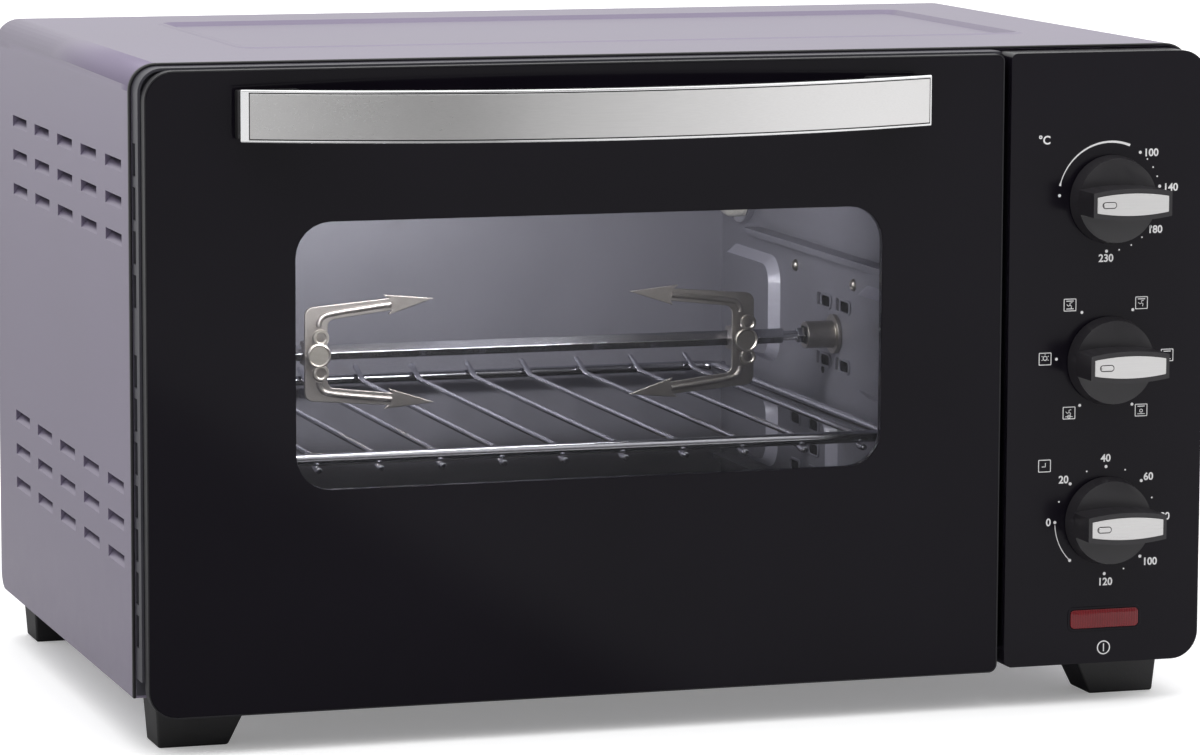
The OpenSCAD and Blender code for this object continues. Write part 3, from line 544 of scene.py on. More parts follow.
class OvenStage(bpy.types.PropertyGroup):
    """Floor, light and camera."""

    floor_colour: tint("Floor", "Pale studio floor", (0.93, 0.93, 0.935))
    sky: number("Sky", "Brightness of the studio", 1.0, 0, 4)
    key_power: number("Key light", "Power of the large soft light", 20, 0, 400, "POWER")
    inside_power: number("Inside light", "Power of the light in the cavity", 0.95, 0, 40, "POWER")
    lens: number("Focal length", "Focal length of the camera, in mm", 159.42, 20, 300)


# ---------------------------------------------------------------- stage

def soft_light(name, place, aim, size, power):
    light = bpy.data.lights.new(name, "AREA")
    light.shape, light.size, light.size_y, light.energy = "RECTANGLE", size[0], size[1], power
    holder = bpy.data.objects.new(name, light)
    place = Vector(place)
    turn = (Vector(aim) - place).to_track_quat("-Z", "Y").to_matrix().to_4x4()
    holder.matrix_world = Matrix.Translation(place) @ turn
    holder.visible_camera = False
    bpy.context.scene.collection.objects.link(holder)


class OVEN_OT_stage(bpy.types.Operator):
    """Adds the camera, the pale floor and the soft studio light"""

    bl_idname = "oven.stage"
    bl_label = "Stage"

    def execute(self, context):
        stage = context.scene.oven_stage
        self.add_camera(context.scene, stage.lens)
        self.add_floor(context.scene, stage)
        self.add_world(context.scene, stage.sky)
        self.add_lights(stage)
        context.scene.view_settings.view_transform = "Standard"
        return {"FINISHED"}

    def add_camera(self, scene, lens):
        camera = bpy.data.cameras.new("camera")
        camera.lens, camera.clip_start, camera.clip_end = lens, 0.1, 50
        holder = bpy.data.objects.new("camera", camera)
        scene.collection.objects.link(holder)
        place = (-0.748, -2.379, 0.479)
        yaw, pitch, roll = 0.306, -0.1345, 0.0034
        ahead = Vector((math.sin(yaw) * math.cos(pitch), math.cos(yaw) * math.cos(pitch), math.sin(pitch)))
        right = Vector((math.cos(yaw), -math.sin(yaw), 0))
        above = right.cross(ahead)
        side = right * math.cos(roll) + above * math.sin(roll)
        top = above * math.cos(roll) - right * math.sin(roll)
        turn = Matrix((side, top, -ahead)).transposed().to_4x4()
        holder.matrix_world = Matrix.Translation(place) @ turn
        scene.camera = holder

    def add_floor(self, scene, stage):
        bm = bmesh.new()
        bmesh.ops.create_grid(bm, x_segments=2, y_segments=2, size=9)
        mesh = bpy.data.meshes.new("floor")
        bm.to_mesh(mesh)
        bm.free()
        mesh.materials.append(floor_paint(stage))
        floor = bpy.data.objects.new("floor", mesh)
        scene.collection.objects.link(floor)

    def add_world(self, scene, strength):
        """A pale studio that is dark ahead of the door, bright overhead and plain white to the camera."""
        world = bpy.data.worlds.new("studio")
        world.use_nodes = True
        scene.world = world
        sky = NodeTree(world.node_tree)
        toward = sky.node("ShaderNodeTexCoord", output=0)

        def facing(direction):
            return sky.node("ShaderNodeVectorMath", {"operation": "DOT_PRODUCT"}, {0: toward, 1: direction}, 1)
        dark = sky.between(facing((-0.10, -0.99, 0.05)), 0.62, 0.93)
        above = sky.between(sky.node("ShaderNodeSeparateXYZ", None, {0: toward}, 2), 0.15, 0.75)
        left = sky.between(facing((-0.88, 0.47, 0.0)), 0.1, 0.8)
        seen = sky.node("ShaderNodeLightPath")
        glow = (1 - dark * 0.84) * (0.74 + above * 0.75) * (1 - left * 0.06)
        glow = glow + seen * (1.25 - glow)
        light = sky.node("ShaderNodeBackground", None, {"Color": (1, 1, 1), "Strength": glow * strength})
        end = sky.tree.nodes.new("ShaderNodeOutputWorld")
        sky.tree.links.new(light.socket, end.inputs[0])

    def add_lights(self, stage):
        soft_light("key", (-0.5, -1.1, 2.7), (0, 0, 0.1), (2.0, 1.4), stage.key_power)
        soft_light("fill", (2.2, -1.0, 1.5), (0, 0, 0.1), (1.4, 1.4), stage.key_power * 0.35)
        low, high = span("cavity_back_wall")
        mid = (low + high) / 2 * MM + FRONT
        soft_light("side", (-0.17, FRONT.y + 0.014, 0.215), (0.10, 0.11, 0.15), (0.05, 0.06),
                   stage.inside_power * 0.14)
        soft_light("inside", (mid.x - 0.03, FRONT.y + 0.02, 0.262), (mid.x - 0.11, FRONT.y + 0.285, 0.19),
                   (0.20, 0.03), stage.inside_power)


# ---------------------------------------------------------------- housing

class OVEN_OT_wrap(bpy.types.Operator):
    """Adds the folded outer wrap with its louvres and pressed top panel"""

    bl_idname = "oven.wrap"
    bl_label = "Outer wrap"
    shoulder = 12.0   # radius of the fold between side and top

    def execute(self, context):
        sizes = context.scene.oven_sizes
        low, high = span("outer_wrap")
        depth = span("cavity_back_wall")[1].y + 13
        bm = bmesh.new()
        self.fold(bm, low, high, low.y, depth, self.shoulder)
        corners = [v for v in bm.verts if v.co.y > depth - 1 and v.co.z < low.z + 0.01]
        round_corners(bm, corners, 9, 6)
        self.press_top(bm, high.z, sizes.recess_depth)
        self.press_louvres(bm, low.x, high.x, sizes.louvre_depth)
        skin = make(bm, "outer_wrap_skin", "housing", "silver_paint", stands_for=("outer_wrap",), wall=1.2,
                    smooth=25)
        for face in skin.data.polygons:
            face.use_smooth = max(abs(c) for c in face.normal) < 0.999
        # A black strip just round the wrap's front edge: painted shade for the dark gap between the wrap and the
        # front frame.
        bm = bmesh.new()
        proud = 0.1
        low, high = low - Vector((proud, 0, 0)), high + Vector((proud, 0, proud))
        self.fold(bm, low, high, -0.15, 2.5, self.shoulder + proud)
        make(bm, "edge_seal", "housing", "black_plastic", wall=1.1, smooth=25)
        return {"FINISHED"}

    def fold(self, bm, low, high, y, depth, radius):
        """A sheet over both sides and the top, open at the bottom, that starts at y."""
        places = ((low.x, low.z), (low.x, high.z), (high.x, high.z), (high.x, low.z))
        verts = [bm.verts.new((x, y, z)) for x, z in places]
        bm.faces.new(verts)
        round_corners(bm, verts[1:3], radius, bpy.context.scene.oven_sizes.round_steps)
        bmesh.ops.delete(bm, geom=list(bm.faces), context="FACES_ONLY")
        bottom = [e for e in bm.edges if all(abs(v.co.z - low.z) < 0.01 for v in e.verts)]
        bmesh.ops.delete(bm, geom=bottom, context="EDGES")
        made = bmesh.ops.extrude_edge_only(bm, edges=list(bm.edges))["geom"]
        bmesh.ops.translate(bm, verts=[g for g in made if isinstance(g, bmesh.types.BMVert)], vec=(0, depth, 0))

    def press_top(self, bm, level, depth):
        """Presses a shallow panel with a rounded, stepped border into the top."""
        left, right, front, back = -190, 209, 68, 260

        def flat(wide=True):
            top = [(f, f.calc_center_median()) for f in bm.faces if abs(f.normal.z) > 0.99]
            return [f for f, c in top if wide or left < c.x < right]
        for x in (left, right):
            cut(bm, flat(), 0, x)
        for y in (front, back):
            cut(bm, flat(False), 1, y)
        cell = [f for f in flat(False) if front < f.calc_center_median().y < back]
        hole = list(cell[0].edges)
        bmesh.ops.delete(bm, geom=cell, context="FACES_ONLY")
        face = rounded(bm, "z", (left + 8, front + 8), (right - 8, back - 8), level, 10, 8)
        bmesh.ops.bridge_loops(bm, edges=hole + list(face.edges))
        for width, drop in ((1.5, -0.45), (1.2, 0.0), (2.4, depth + 0.45), (3.0, 0.0), (1.6, -0.4)):
            bmesh.ops.inset_region(bm, faces=[face], thickness=width, depth=0)
            bmesh.ops.translate(bm, verts=list(face.verts), vec=(0, 0, -drop))

    def press_louvres(self, bm, left, right, depth):
        """Presses rows of louvres into both sides, each open along its lower edge."""
        tops, height = (260.7, 244.3, 227.9, 117.8, 101.4, 85), 5.5
        mids, half = (33, 85, 137, 189, 241), 16.5
        heights = [(2, top - d) for top in tops for d in (0, height)]
        lengths = [(1, mid + d) for mid in mids for d in (-half, half)]
        for side, inward in ((left, 1), (right, -1)):
            def wall():
                faces = [(f, f.calc_center_median()) for f in bm.faces if abs(f.normal.x) > 0.99]
                return [f for f, c in faces if abs(c.x - side) < 1]
            for axis, at in heights + lengths:
                cut(bm, wall(), axis, at)
            cells = [f for f in wall() if any(t - height < f.calc_center_median().z < t for t in tops)
                     and any(abs(f.calc_center_median().y - m) < half for m in mids)]
            for cap in bmesh.ops.extrude_discrete_faces(bm, faces=cells)["faces"]:
                level = max(v.co.z for v in cap.verts)
                for vert in cap.verts:
                    if vert.co.z > level - 0.1:
                        vert.co.x += inward * depth
            bm.normal_update()
            level_faces = [(f, f.calc_center_median()) for f in bm.faces
                           if abs(f.normal.z) > 0.9 and f.calc_area() > 1]
            opened = [f for f, c in level_faces if c.z < tops[0] + 9 and 0.01 < abs(c.x - side) < depth]
            bmesh.ops.delete(bm, geom=opened, context="FACES_ONLY")
        bmesh.ops.remove_doubles(bm, verts=bm.verts, dist=0.001)


class OVEN_OT_housing(bpy.types.Operator):
    """Adds the base plate, back panel, front frame, feet, spacers and cord gland"""

    bl_idname = "oven.housing"
    bl_label = "Housing parts"

    def execute(self, context):
        soft = context.scene.oven_sizes.soft_edge
        for node in ("base_plate", "back_panel"):
            refined(node, soft=0.3)
        refined("front_frame", "flange_paint", soft=0.35)
        for node in ("foot_front_left", "foot_front_right", "foot_back_left", "foot_back_right"):
            refined(node, soft=1.2)
        for node in ("rear_spacer_left", "rear_spacer_right", "cord_gland"):
            refined(node, soft=soft)
        return {"FINISHED"}


class OVEN_OT_cavity(bpy.types.Operator):
    """Adds the enamelled cavity with its pressed wall pads and screws"""

    bl_idname = "oven.cavity"
    bl_label = "Cavity"
    ledge = 9.0   # how far the shelf ledges stand in from the wall
    pads = (((196, 134), (274, 187)), ((198, 81), (262, 120.5)), ((112, 81), (188, 120.5)),
            ((24, 134), (84, 187)), ((24, 81), (84, 120.5)))   # low and high (y, z)

    def execute(self, context):
        for node in ("cavity_left_wall", "cavity_right_wall", "cavity_back_wall", "cavity_ceiling"):
            refined(node, soft=0.3)
        refined("cavity_floor", "baked_black", soft=0.3)
        height = context.scene.oven_sizes.pad_height
        right = span("cavity_right_wall")[0].x + self.ledge
        left = span("cavity_left_wall")[1].x - self.ledge
        for name, face, inward in (("right", right, -1), ("left", left, 1)):
            tops, slopes = bmesh.new(), bmesh.new()
            for low, high in self.pads:
                for bm in (tops, slopes):
                    top = rounded(bm, "x", low, high, face, 13, 6)
                    ring = bmesh.ops.inset_region(bm, faces=[top], thickness=4.0, depth=0, use_boundary=True,
                                                  use_even_offset=True)["faces"]
                    bmesh.ops.translate(bm, verts=list(top.verts), vec=(inward * height, 0, 0))
                    unwanted = ring if bm is tops else [top]
                    bmesh.ops.delete(bm, geom=unwanted, context="FACES_ONLY" if bm is slopes else "FACES")
            make(tops, "wall_pads_" + name, "housing", "grey_enamel", smooth=24)
            # The pad slopes take the lighter enamel, a painted highlight on the faces turned to the front.
            make(slopes, "wall_pad_slopes_" + name, "housing", "grey_enamel", "bright_enamel", smooth=50)
        self.add_screws(right)
        self.add_vents(right, right - height)
        return {"FINISHED"}

    def add_screws(self, wall):
        bm = bmesh.new()
        profile = [(0, wall - 2), (1.4, wall - 2), (2.4, wall - 1.4), (3.0, wall - 0.4), (3.0, wall)]
        for y, z in ((173.4, 185.8), (91.5, 185.2)):
            turned(bm, "x", (y, z), profile, 20)
            slab(bm, "x", (y, z), (1.9, 0.3), (wall - 2.05, wall - 1.6))
        make(bm, "wall_screws", "housing", "plain_steel", smooth=40)

    def add_vents(self, wall, pad):
        """Rims with mouths of painted shade: four round the spit on the wall, six on the pad below, and one small
        hole.
        """
        low, high = span("spit_bar")
        spit = (low + high) / 2
        spots = [(spit.y + y, spit.z + z, wall) for y in (-13.2, 13.2) for z in (-14.3, 14.3)]
        spots += [(y, z, pad) for y in (130.8, 157.2) for z in (89.5, 101.2, 112.9)]
        rims, mouth_shades = bmesh.new(), bmesh.new()
        for y, z, level in spots:
            rim(rims, "x", (y, z), (7.4, 3.6), (6.0, 2.5), (2.6, 1.7), (level, level - 0.9))
            slab(mouth_shades, "x", (y, z), (6.1, 2.6), (level - 0.05, level - 0.2), 1.7)
        slab(mouth_shades, "x", (133.5, 139.7), (2.0, 2.0), (wall - 0.05, wall - 0.2), 2.0)
        make(rims, "vent_rims", "housing", "grey_enamel", soft=0.4)
        make(mouth_shades, "vent_mouths", "housing", "dark_steel", "open_hole")


class OVEN_OT_heaters(bpy.types.Operator):
    """Adds the four tubular heaters"""

    bl_idname = "oven.heaters"
    bl_label = "Heaters"

    def execute(self, context):
        for node in ("heater_top_front", "heater_top_back", "heater_bottom_front", "heater_bottom_back"):
            refined(node, soft=0.3, smooth=40)
        return {"FINISHED"}


class OVEN_OT_lamp(bpy.types.Operator):
    """Adds the oven lamp's ring and glass cap"""

    bl_idname = "oven.lamp"
    bl_label = "Lamp"

    def execute(self, context):
        low, high = span("lamp_glass")
        mid = (low + high) / 2
        refined("lamp_ring", soft=0.6)
        bm = bmesh.new()
        profile = [(0, low.x + 0.2), (4, low.x + 0.5), (8, low.x + 1.8), (11.5, low.x + 4), (14, low.x + 6.6),
                   (15.4, low.x + 8.2), (15.9, low.x + 9.6), (15.9, high.x)]
        turned(bm, "x", (mid.y, mid.z), profile + [(0, high.x)], 48)
        make(bm, "lamp_cap", "housing", "lamp_glass", smooth=60, stands_for=("lamp_glass",))
        return {"FINISHED"}


class OVEN_OT_drives(bpy.types.Operator):
    """Adds the spit rest, the motors, the fan wheel, the hinges and the switches behind the panel"""

    bl_idname = "oven.drives"
    bl_label = "Drives and switches"

    def execute(self, context):
        for node in ("spit_rest", "rotisserie_motor", "fan_motor", "fan_wheel", "hinge_bracket_left",
                     "hinge_bracket_right", "control_bracket", "thermostat", "selector_switch", "timer"):
            refined(node, soft=0.3)
        return {"FINISHED"}


# ---------------------------------------------------------------- door

class OVEN_OT_door(bpy.types.Operator):
    """Adds the door frame, the printed glass with its clear window, the liner and the stays"""

    bl_idname = "oven.door"
    bl_label = "Door"

    def execute(self, context):
        refined("door_frame", soft=0.35)
        refined("door_liner", soft=0.3)
        for node in ("hinge_pin_left", "hinge_pin_right", "stay_arm_left", "stay_arm_right"):
            refined(node, soft=0.25)
        low, high = span("door_glass")
        window = ((-180.7, 116.3), (92.3, 234.8))
        radii = (12.4, 3.4, 2.4, 12.4)
        bm = bmesh.new()
        ring_plate(bm, "y", ((low.x, low.z), (high.x, high.z), radii), (*window, 16), (low.y, high.y))
        make(bm, "glass_border", "door", "black_glass", soft=0.35, stands_for=("door_glass",))
        bm = bmesh.new()
        gap = 0.04
        plate(bm, "y", (window[0][0] + gap, window[0][1] + gap), (window[1][0] - gap, window[1][1] - gap),
              (low.y + 0.15, high.y - 0.15), 16, 8)
        make(bm, "window_pane", "door", "black_glass", "clear_glass", stands_for=("door_glass",))
        return {"FINISHED"}


class OVEN_OT_handle(bpy.types.Operator):
    """Adds the bowed handle with its bright rim, brushed plate and black posts"""

    bl_idname = "oven.handle"
    bl_label = "Handle"

    def execute(self, context):
        low, high = span("handle_rim")
        length, ends = high.x - low.x, -32.0
        bow = ends - low.y
        radius = length * length / (8 * bow) + bow / 2
        centre = Vector(((low.x + high.x) / 2, low.y + radius, 0))
        half = math.asin(length / 2 / radius)
        bm = bmesh.new()
        self.sweep(bm, centre, radius, -half, half, (low.z, high.z), (0, 6))
        make(bm, "handle_bar", "door", "chrome_trim", soft=0.7, smooth=28, stands_for=("handle_rim",))
        # A black band round the brushed face, just in front of the bar: painted shade for the gap between rim and
        # plate.
        bm = bmesh.new()
        start, end = 3.9 / radius - half, half - 1.4 / radius
        self.sweep(bm, centre, radius, start, end, (low.z + 1.15, high.z - 1.15), (-0.05, 0.6))
        make(bm, "handle_gap", "door", "black_plastic", smooth=28)
        bm = bmesh.new()
        start, end = start + 0.5 / radius, end - 0.6 / radius
        self.sweep(bm, centre, radius, start, end, (low.z + 1.7, high.z - 1.7), (-0.3, 0.5))
        make(bm, "handle_face", "door", "brushed_trim", soft=0.15, smooth=28, stands_for=("handle_plate",))
        refined("handle_post_left", soft=0.8)
        refined("handle_post_right", soft=0.8)
        return {"FINISHED"}

    def sweep(self, bm, centre, radius, start, end, heights, depths):
        """A bar with a rectangular section, swept along the handle's arc."""
        (near, far), (low, high) = depths, heights
        corners = [(near, low), (far, low), (far, high), (near, high)]
        turn = Matrix.Rotation(start, 3, "Z")
        verts = []
        for depth, height in corners:
            arm = turn @ Vector((0, -(radius - depth), 0))
            verts.append(bm.verts.new((centre.x + arm.x, centre.y + arm.y, height)))
        face = bm.faces.new(verts)
        bmesh.ops.spin(bm, geom=[face], cent=centre, axis=(0, 0, 1), dvec=(0, 0, 0), angle=end - start,
                       steps=64)
        bmesh.ops.remove_doubles(bm, verts=bm.verts, dist=0.0005)


# ---------------------------------------------------------------- controls

class OVEN_OT_panel(bpy.types.Operator):
    """Adds the control panel and the indicator lens"""

    bl_idname = "oven.panel"
    bl_label = "Control panel"

    def execute(self, context):
        refined("control_panel", soft=0.8)
        low, high = span("indicator_lens")
        mid = (low.z + high.z) / 2
        bm = bmesh.new()
        face = plate(bm, "y", (low.x + 0.4, mid - 4.3), (high.x - 0.4, mid + 4.3), (high.y, low.y + 0.4), 2.0)
        bmesh.ops.inset_region(bm, faces=[face], thickness=1.6, depth=0)
        bmesh.ops.translate(bm, verts=list(face.verts), vec=(0, -0.4, 0))
        make(bm, "lens_cap", "housing", "red_lens", soft=0.25, smooth=20, stands_for=("indicator_lens",))
        return {"FINISHED"}


class OVEN_OT_knobs(bpy.types.Operator):
    """Adds the three knobs, each with a silver insert and a raised mark"""

    bl_idname = "oven.knobs"
    bl_label = "Knobs"

    def execute(self, context):
        for name in ("temperature", "function", "timer"):
            refined(name + "_knob", "knob_plastic", soft=0.9, smooth=30)
            low, high = span(name + "_insert")
            mid = (low + high) / 2
            pointer = (mid.x - 11.6, mid.z)

            def mark(bm):
                slab(bm, "y", pointer, (3.0, 1.05), (low.y + 0.1, low.y - 0.6), 1.0, 5)
            refined(name + "_insert", soft=0.3, extra=mark)
            bm = bmesh.new()
            # A thin black ring round the raised mark: painted shade along the mark's edge.
            rim(bm, "y", pointer, (3.5, 1.55), (3.1, 1.15), (1.5, 1.1), (low.y + 0.05, low.y - 0.06))
            make(bm, name + "_pointer_groove", "knob_" + name, "black_gloss", "knob_plastic")
        return {"FINISHED"}


class OVEN_OT_marks(bpy.types.Operator):
    """Adds the printed dots, arcs, numbers and symbols round the knobs"""

    bl_idname = "oven.marks"
    bl_label = "Dial marks"

    def execute(self, context):
        low, high = span("control_panel")
        self.face, self.thick = low.y, context.scene.oven_sizes.print_thickness
        centres = {}
        for name in ("temperature", "function", "timer"):
            knob = span(name + "_knob")
            centres[name] = ((knob[0].x + knob[1].x) / 2, (knob[0].z + knob[1].z) / 2)
        low, high = span("indicator_lens")
        lens = (low + high) / 2
        self.temperature(*centres["temperature"])
        self.function(*centres["function"])
        self.timer(*centres["timer"])
        bm = bmesh.new()
        x, z = lens.x, lens.z - 13.8
        self.arc(bm, x, z, 3.0, 0, 360, 0.5, 0.5)
        self.bar(bm, x, z - 1.6, x, z + 1.6, 0.5)
        make(bm, "power_mark", "housing", "switch_plastic", "print_ink")
        bm = bmesh.new()
        half = (high.x - low.x) / 2
        rim(bm, "y", (lens.x, lens.z), (half + 0.9, 5.7), (half - 0.3, 4.4), (2.8, 2.1),
            (self.face + 0.3, self.face - 0.35))
        make(bm, "lens_bezel", "housing", "black_plastic", "black_gloss", soft=0.3)
        return {"FINISHED"}

    def around(self, x, z, radius, angle):
        """A point at an angle in degrees, clockwise from the top."""
        return x + radius * math.sin(math.radians(angle)), z + radius * math.cos(math.radians(angle))

    def dot(self, bm, x, z, radius):
        rod(bm, (x, self.face, z), (x, self.face - self.thick, z), radius, 16)

    def bar(self, bm, x0, z0, x1, z1, width):
        """A thin printed line."""
        along = Vector((x1 - x0, 0, z1 - z0))
        turn = Matrix.Rotation(-math.atan2(along.z, along.x), 4, "Y")
        place = Matrix.Translation(((x0 + x1) / 2, self.face - self.thick / 2, (z0 + z1) / 2)) @ turn
        size = Matrix.Diagonal((along.length + width, self.thick, width, 1))
        bmesh.ops.create_cube(bm, size=1, matrix=place @ size)

    def arc(self, bm, x, z, radius, start, end, from_width, to_width):
        """A printed arc whose width may grow along it."""
        ends = [self.around(x, z, radius + d, start) for d in (-0.5, 0.5)]
        verts = [bm.verts.new((a, self.face - self.thick, b)) for a, b in ends]
        edge = bm.edges.new(verts)
        known = set(bm.verts) - set(verts)
        turn = end - start
        bmesh.ops.spin(bm, geom=verts + [edge], cent=(x, 0, z), axis=(0, 1, 0), dvec=(0, 0, 0),
                       angle=math.radians(turn), steps=max(8, int(turn / 5)), use_merge=turn == 360)
        made = [v for v in bm.verts if v not in known]
        for vert in made:
            out = Vector((vert.co.x - x, 0, vert.co.z - z))
            turned_by = (math.degrees(math.atan2(out.x, out.z)) - start) % 360
            width = from_width + (to_width - from_width) * min(turned_by / turn, 1)
            side = 1 if out.length > radius else -1
            place = out.normalized() * (radius + side * width / 2)
            vert.co = (x + place.x, vert.co.y, z + place.z)
        faces = {f for v in made for f in v.link_faces}
        raise_faces(bm, faces, (0, self.thick, 0))

    def figure(self, bm, text, x, z, size):
        """A number as a thin mesh."""
        curve = bpy.data.curves.new("figure", "FONT")
        curve.body, curve.size, curve.extrude, curve.offset = text, size, self.thick / 2, size * 0.022
        curve.align_x, curve.align_y, curve.resolution_u = "CENTER", "CENTER", 4
        place = Matrix.Translation((x, self.face - self.thick / 2, z))
        add_curve(bm, curve, place @ Matrix.Rotation(math.pi / 2, 4, "X"))

    def frame(self, bm, x, z):
        """The square outline of a symbol."""
        rim(bm, "y", (x, z), (3.1, 2.9), (2.75, 2.55), (0.4, 0.2), (self.face, self.face - self.thick))

    def fan(self, bm, x, z, size=1.5):
        for angle in (0, 120, 240):
            a, b = self.around(x, z, size * 0.62, angle), self.around(x, z, size, angle + 38)
            self.bar(bm, x, z, *a, 0.34)
            self.bar(bm, *a, *b, 0.30)

    def temperature(self, x, z):
        bm = bmesh.new()
        self.arc(bm, x - 0.4, z + 1.0, 25.4, -77, 22, 0.35, 1.15)
        for angle in (-87, 36, 80, 125, 183):
            self.dot(bm, *self.around(x - 0.4, z + 1.0, 24.9, angle), 0.75)
        for first, last in ((36, 80), (80, 125), (125, 183)):
            for step in (1, 2, 3):
                self.dot(bm, *self.around(x - 0.4, z + 1.0, 24.9, first + (last - first) * step / 4), 0.38)
        labels = (("100", 19.6, 20.8, 4.9), ("140", 29.6, 4.6, 4.9), ("180", 22.2, -14.6, 4.9),
                  ("230", -1.9, -27.2, 4.9), ("\u00b0C", -33.0, 27.6, 5.4))
        for text, dx, dz, size in labels:
            self.figure(bm, text, x + dx, z + dz, size)
        make(bm, "temperature_marks", "housing", "switch_plastic", "print_ink")

    def function(self, x, z):
        bm = bmesh.new()
        for angle in (-31, 29, -89, 88, -148, 150):
            self.dot(bm, *self.around(x - 0.4, z + 1.0, 25.2, angle), 0.72)
        spots = ((-19.3, 26.2), (16.1, 26.1), (-31.2, 1.7), (29.3, 1.4), (-19.0, -23.7), (16.8, -23.7))
        for number, (dx, dz) in enumerate(spots):
            a, b = x + dx, z + dz
            self.frame(bm, a, b)
            if number in (0, 1, 4):
                self.fan(bm, a, b + (0.3 if number == 4 else -0.1))
            if number in (0, 1, 3, 5):
                self.bar(bm, a - 1.6, b + 1.8, a + 1.6, b + 1.8, 0.4)
            if number in (0, 3):
                self.bar(bm, a - 1.6, b - 1.8, a + 1.6, b - 1.8, 0.4)
            if number == 2:
                self.arc(bm, a, b + 0.3, 0.95, 0, 360, 0.32, 0.32)
                for angle in (0, 60, 120, 240, 300):
                    ends = [self.around(a, b + 0.3, radius, angle) for radius in (1.6, 1.9)]
                    self.bar(bm, *ends[0], *ends[1], 0.28)
            if number in (4, 5):
                self.bar(bm, a - 1.7, b - 1.7, a + 1.7, b - 1.7, 0.3)
                self.arc(bm, a, b - (1.7 if number == 4 else 0.3), 0.7, 0, 360, 0.3, 0.3)
        make(bm, "function_marks", "housing", "switch_plastic", "print_ink")

    def timer(self, x, z):
        bm = bmesh.new()
        for step in range(13):
            big = step % 2 == 0
            self.dot(bm, *self.around(x - 0.2, z, 25.0, -90 + step * 22.5), 0.75 if big else 0.42)
        self.arc(bm, x - 0.2, z, 25.0, -135, -93, 0.35, 0.35)
        self.dot(bm, *self.around(x - 0.2, z, 25.0, -136), 0.75)
        labels = (("0", -28.4, 0), ("20", -21.2, 19.6), ("40", -0.4, 28.8), ("60", 21.0, 19.4),
                  ("80", 29.6, 0.4), ("100", 22.4, -20.4), ("120", 0.2, -28.9))
        for text, dx, dz in labels:
            self.figure(bm, text, x + dx, z + dz, 4.9)
        a, b = x - 30.7, z + 26.5
        self.frame(bm, a, b)
        self.bar(bm, a + 0.4, b - 0.4, a + 0.4, b + 1.2, 0.35)
        self.bar(bm, a - 1.2, b - 0.4, a + 0.4, b - 0.4, 0.35)
        make(bm, "timer_marks", "housing", "switch_plastic", "print_ink")


# ---------------------------------------------------------------- cooking parts

class OVEN_OT_rack(bpy.types.Operator):
    """Adds the wire rack and the crumb tray"""

    bl_idname = "oven.rack"
    bl_label = "Rack and tray"

    def execute(self, context):
        low, high = span("wire_rack")
        front, back, level = low.y + 4, high.y - 4, 124.5
        ends = (low.x, high.x)
        bm = bmesh.new()
        inset = 5.5
        outline = [(low.x + 26, front, level), (low.x + inset, front, level), (low.x + inset, back, level),
                   (high.x - inset, back, level), (high.x - inset, front, level), (high.x - 26, front, level)]
        wire(bm, outline, 2.5, 7, 5)
        for y, radius in ((front, 2.8), (back, 1.9)):
            rod(bm, (ends[0], y, level), (ends[1], y, level), radius, 24)
        middle = (low.x + high.x) / 2
        for step in range(-5, 6):
            x = middle + step * 28.7
            path = ((back + 2.6, 5.6), (back - 2.2, 4.3), (back - 13, 0.2), (front + 11, 0.2),
                    (front + 4.5, -4.3), (front - 2.2, -5.2), (front - 4.0, -4.4))
            wire(bm, [(x, y, level + rise) for y, rise in path], 1.35, 2.2, 3)
        make(bm, "rack_wires", "rack", "chrome_trim", "rack_wire", smooth=50, stands_for=("wire_rack",))
        refined("crumb_tray", "baked_black", soft=0.3)
        return {"FINISHED"}


class OVEN_OT_spit(bpy.types.Operator):
    """Adds the square spit and its drive socket"""

    bl_idname = "oven.spit"
    bl_label = "Spit"

    def execute(self, context):
        low, high = span("spit_bar")
        y, z = (low.y + high.y) / 2, (low.z + high.z) / 2
        bm = bmesh.new()
        neck = high.x - 20
        rod(bm, (low.x + 12, y, z), (neck, y, z), 3.7, 4)
        rod(bm, (neck - 1, y, z), (neck + 8, y, z), 2.3, 20)
        rod(bm, (neck + 7, y, z), (high.x, y, z), 3.7, 4)
        rod(bm, (low.x, y, z), (low.x + 5, y, z), 3.3, 24)
        rod(bm, (low.x + 4, y, z), (low.x + 13, y, z), 2.4, 24)
        make(bm, "spit_rod", "spit", "plain_steel", "spit_steel", soft=0.35, stands_for=("spit_bar",))
        refined("drive_socket", soft=0.4)
        return {"FINISHED"}


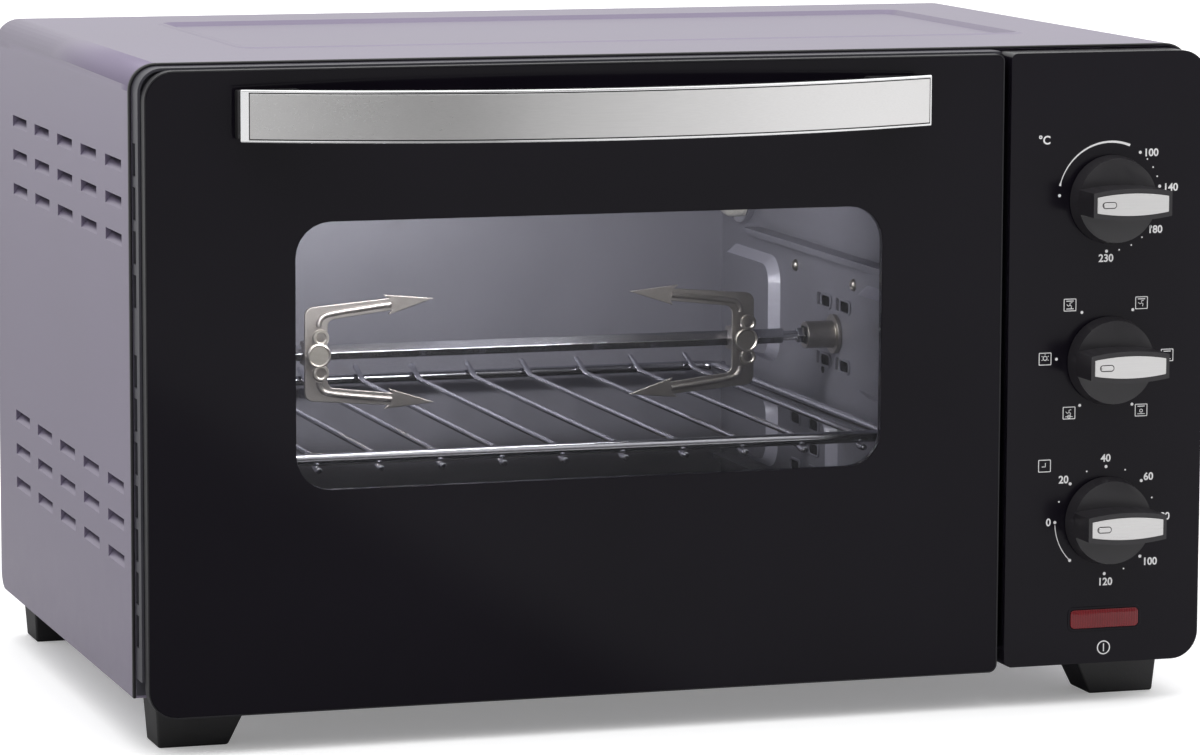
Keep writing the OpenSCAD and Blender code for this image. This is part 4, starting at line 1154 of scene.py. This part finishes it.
class OVEN_OT_forks(bpy.types.Operator):
    """Adds the two sheet-metal forks with pressed ribs and arrow tips, and their thumbscrews"""

    bl_idname = "oven.forks"
    bl_label = "Forks"

    def execute(self, context):
        for name, side in (("left", 1), ("right", -1)):
            low, high = span("fork_" + name)
            x, z = low.x + 7 if side > 0 else high.x - 7, (low.z + high.z) / 2
            front = (low.y + high.y) / 2 - 5.8
            self.fork(name, side, x, z, front)
            self.screw(name, x, z, span("thumbscrew_" + name)[0].y, front)
        return {"FINISHED"}

    def fork(self, name, side, x, z, front):
        lean = math.radians(6)

        def on_tine(along, across):
            return (x + side * (along * math.cos(lean) - across * math.sin(lean)),
                    front, z + 18.5 + along * math.sin(lean) + across * math.cos(lean))
        bm = bmesh.new()
        outer, inner = x - side * 5.5, x + side * 5.5
        arrow = [on_tine(*place) for place in ((35, 2.9), (33, 4.9), (57, 0), (34.5, -4.9), (36, -2.9))]
        outline = [(outer, front, z), (outer, front, z + 21.8), *arrow, (inner, front, z + 15.8),
                   (inner, front, z)]
        verts = [bm.verts.new(place) for place in outline]
        bm.faces.new(verts)
        for number, radius in ((1, 4.0), (7, 3.0)):
            round_corners(bm, [verts[number]], radius, 6)
        bmesh.ops.mirror(bm, geom=bm.verts[:] + bm.edges[:] + bm.faces[:], axis="Z", merge_dist=0.001,
                         matrix=Matrix.Translation((0, 0, -z)))
        bmesh.ops.recalc_face_normals(bm, faces=bm.faces)
        raise_faces(bm, list(bm.faces), (0, 1.8, 0))
        for end in (1, -1):
            rib = x + side * 1.2
            path = [on_tine(36, 0), on_tine(12, -0.2), (rib, front, z + 17.6), (rib, front, z + 13)]
            path = [(a, b + 0.3, z + end * (c - z)) for a, b, c in path]
            wire(bm, path, 1.45, 4.0, 3)
        plate(bm, "x", (front + 1.7, z - 5.4), (front + 10.6, z + 5.4), (x - 5.4, x + 5.4), 1.2)
        make(bm, "fork_" + name + "_sheet", "fork_" + name[0], "plain_steel", "warm_steel", soft=0.35,
             smooth=35, stands_for=("fork_" + name,))

    def screw(self, name, x, z, low, front):
        bm = bmesh.new()
        head = front - 0.1
        cap = [(0, 5.2), (4.4, 5.2), (5.0, 5.8), (5.6, 5.4), (5.7, 4.4), (5.3, 3.6), (3.0, 3.2), (2.6, 0.2), (0, 0.2)]
        turned(bm, "y", (x, z), [(radius, head - out) for radius, out in cap], 32)
        wing = [(2.2, 5.2), (2.7, 5.6), (3.6, 5.5), (4.0, 4.9), (4.0, 4.2), (3.5, 3.7), (2.2, 3.7), (2.2, 5.2)]
        for end in (1, -1):
            turned(bm, "y", (x + 0.9, z + end * 8.2), [(radius, head - out) for radius, out in wing], 24)
        make(bm, "thumbscrew_" + name + "_head", "screw_" + name[0], "chrome_trim", "plain_steel",
             smooth=38, stands_for=("thumbscrew_" + name,))


OPERATORS = (OVEN_OT_stage, OVEN_OT_wrap, OVEN_OT_housing, OVEN_OT_cavity, OVEN_OT_heaters, OVEN_OT_lamp,
             OVEN_OT_drives, OVEN_OT_door, OVEN_OT_handle, OVEN_OT_panel, OVEN_OT_knobs, OVEN_OT_marks,
             OVEN_OT_rack, OVEN_OT_spit, OVEN_OT_forks)


class OVEN_PT_builder(bpy.types.Panel):
    """Lists the oven's pieces in the sidebar"""

    bl_label = "Rotisserie Oven"
    bl_idname = "OVEN_PT_builder"
    bl_space_type = "VIEW_3D"
    bl_region_type = "UI"
    bl_category = "Oven"

    def draw(self, context):
        for group in (context.scene.oven_finish, context.scene.oven_sizes, context.scene.oven_stage):
            box = self.layout.box()
            for key in group.__annotations__:
                box.prop(group, key)
        for operator in OPERATORS:
            self.layout.operator(operator.bl_idname)


CLASSES = (OvenFinish, OvenSizes, OvenStage, *OPERATORS, OVEN_PT_builder)


def register():
    for cls in CLASSES:
        bpy.utils.register_class(cls)
    bpy.types.Scene.oven_finish = PointerProperty(type=OvenFinish)
    bpy.types.Scene.oven_sizes = PointerProperty(type=OvenSizes)
    bpy.types.Scene.oven_stage = PointerProperty(type=OvenStage)


def unregister():
    for name in ("oven_finish", "oven_sizes", "oven_stage"):
        delattr(bpy.types.Scene, name)
    for cls in reversed(CLASSES):
        bpy.utils.unregister_class(cls)


def main():
    register()
    for operator in OPERATORS:
        group, name = operator.bl_idname.split(".")
        getattr(getattr(bpy.ops, group), name)()


if __name__ == "__main__":
    main()
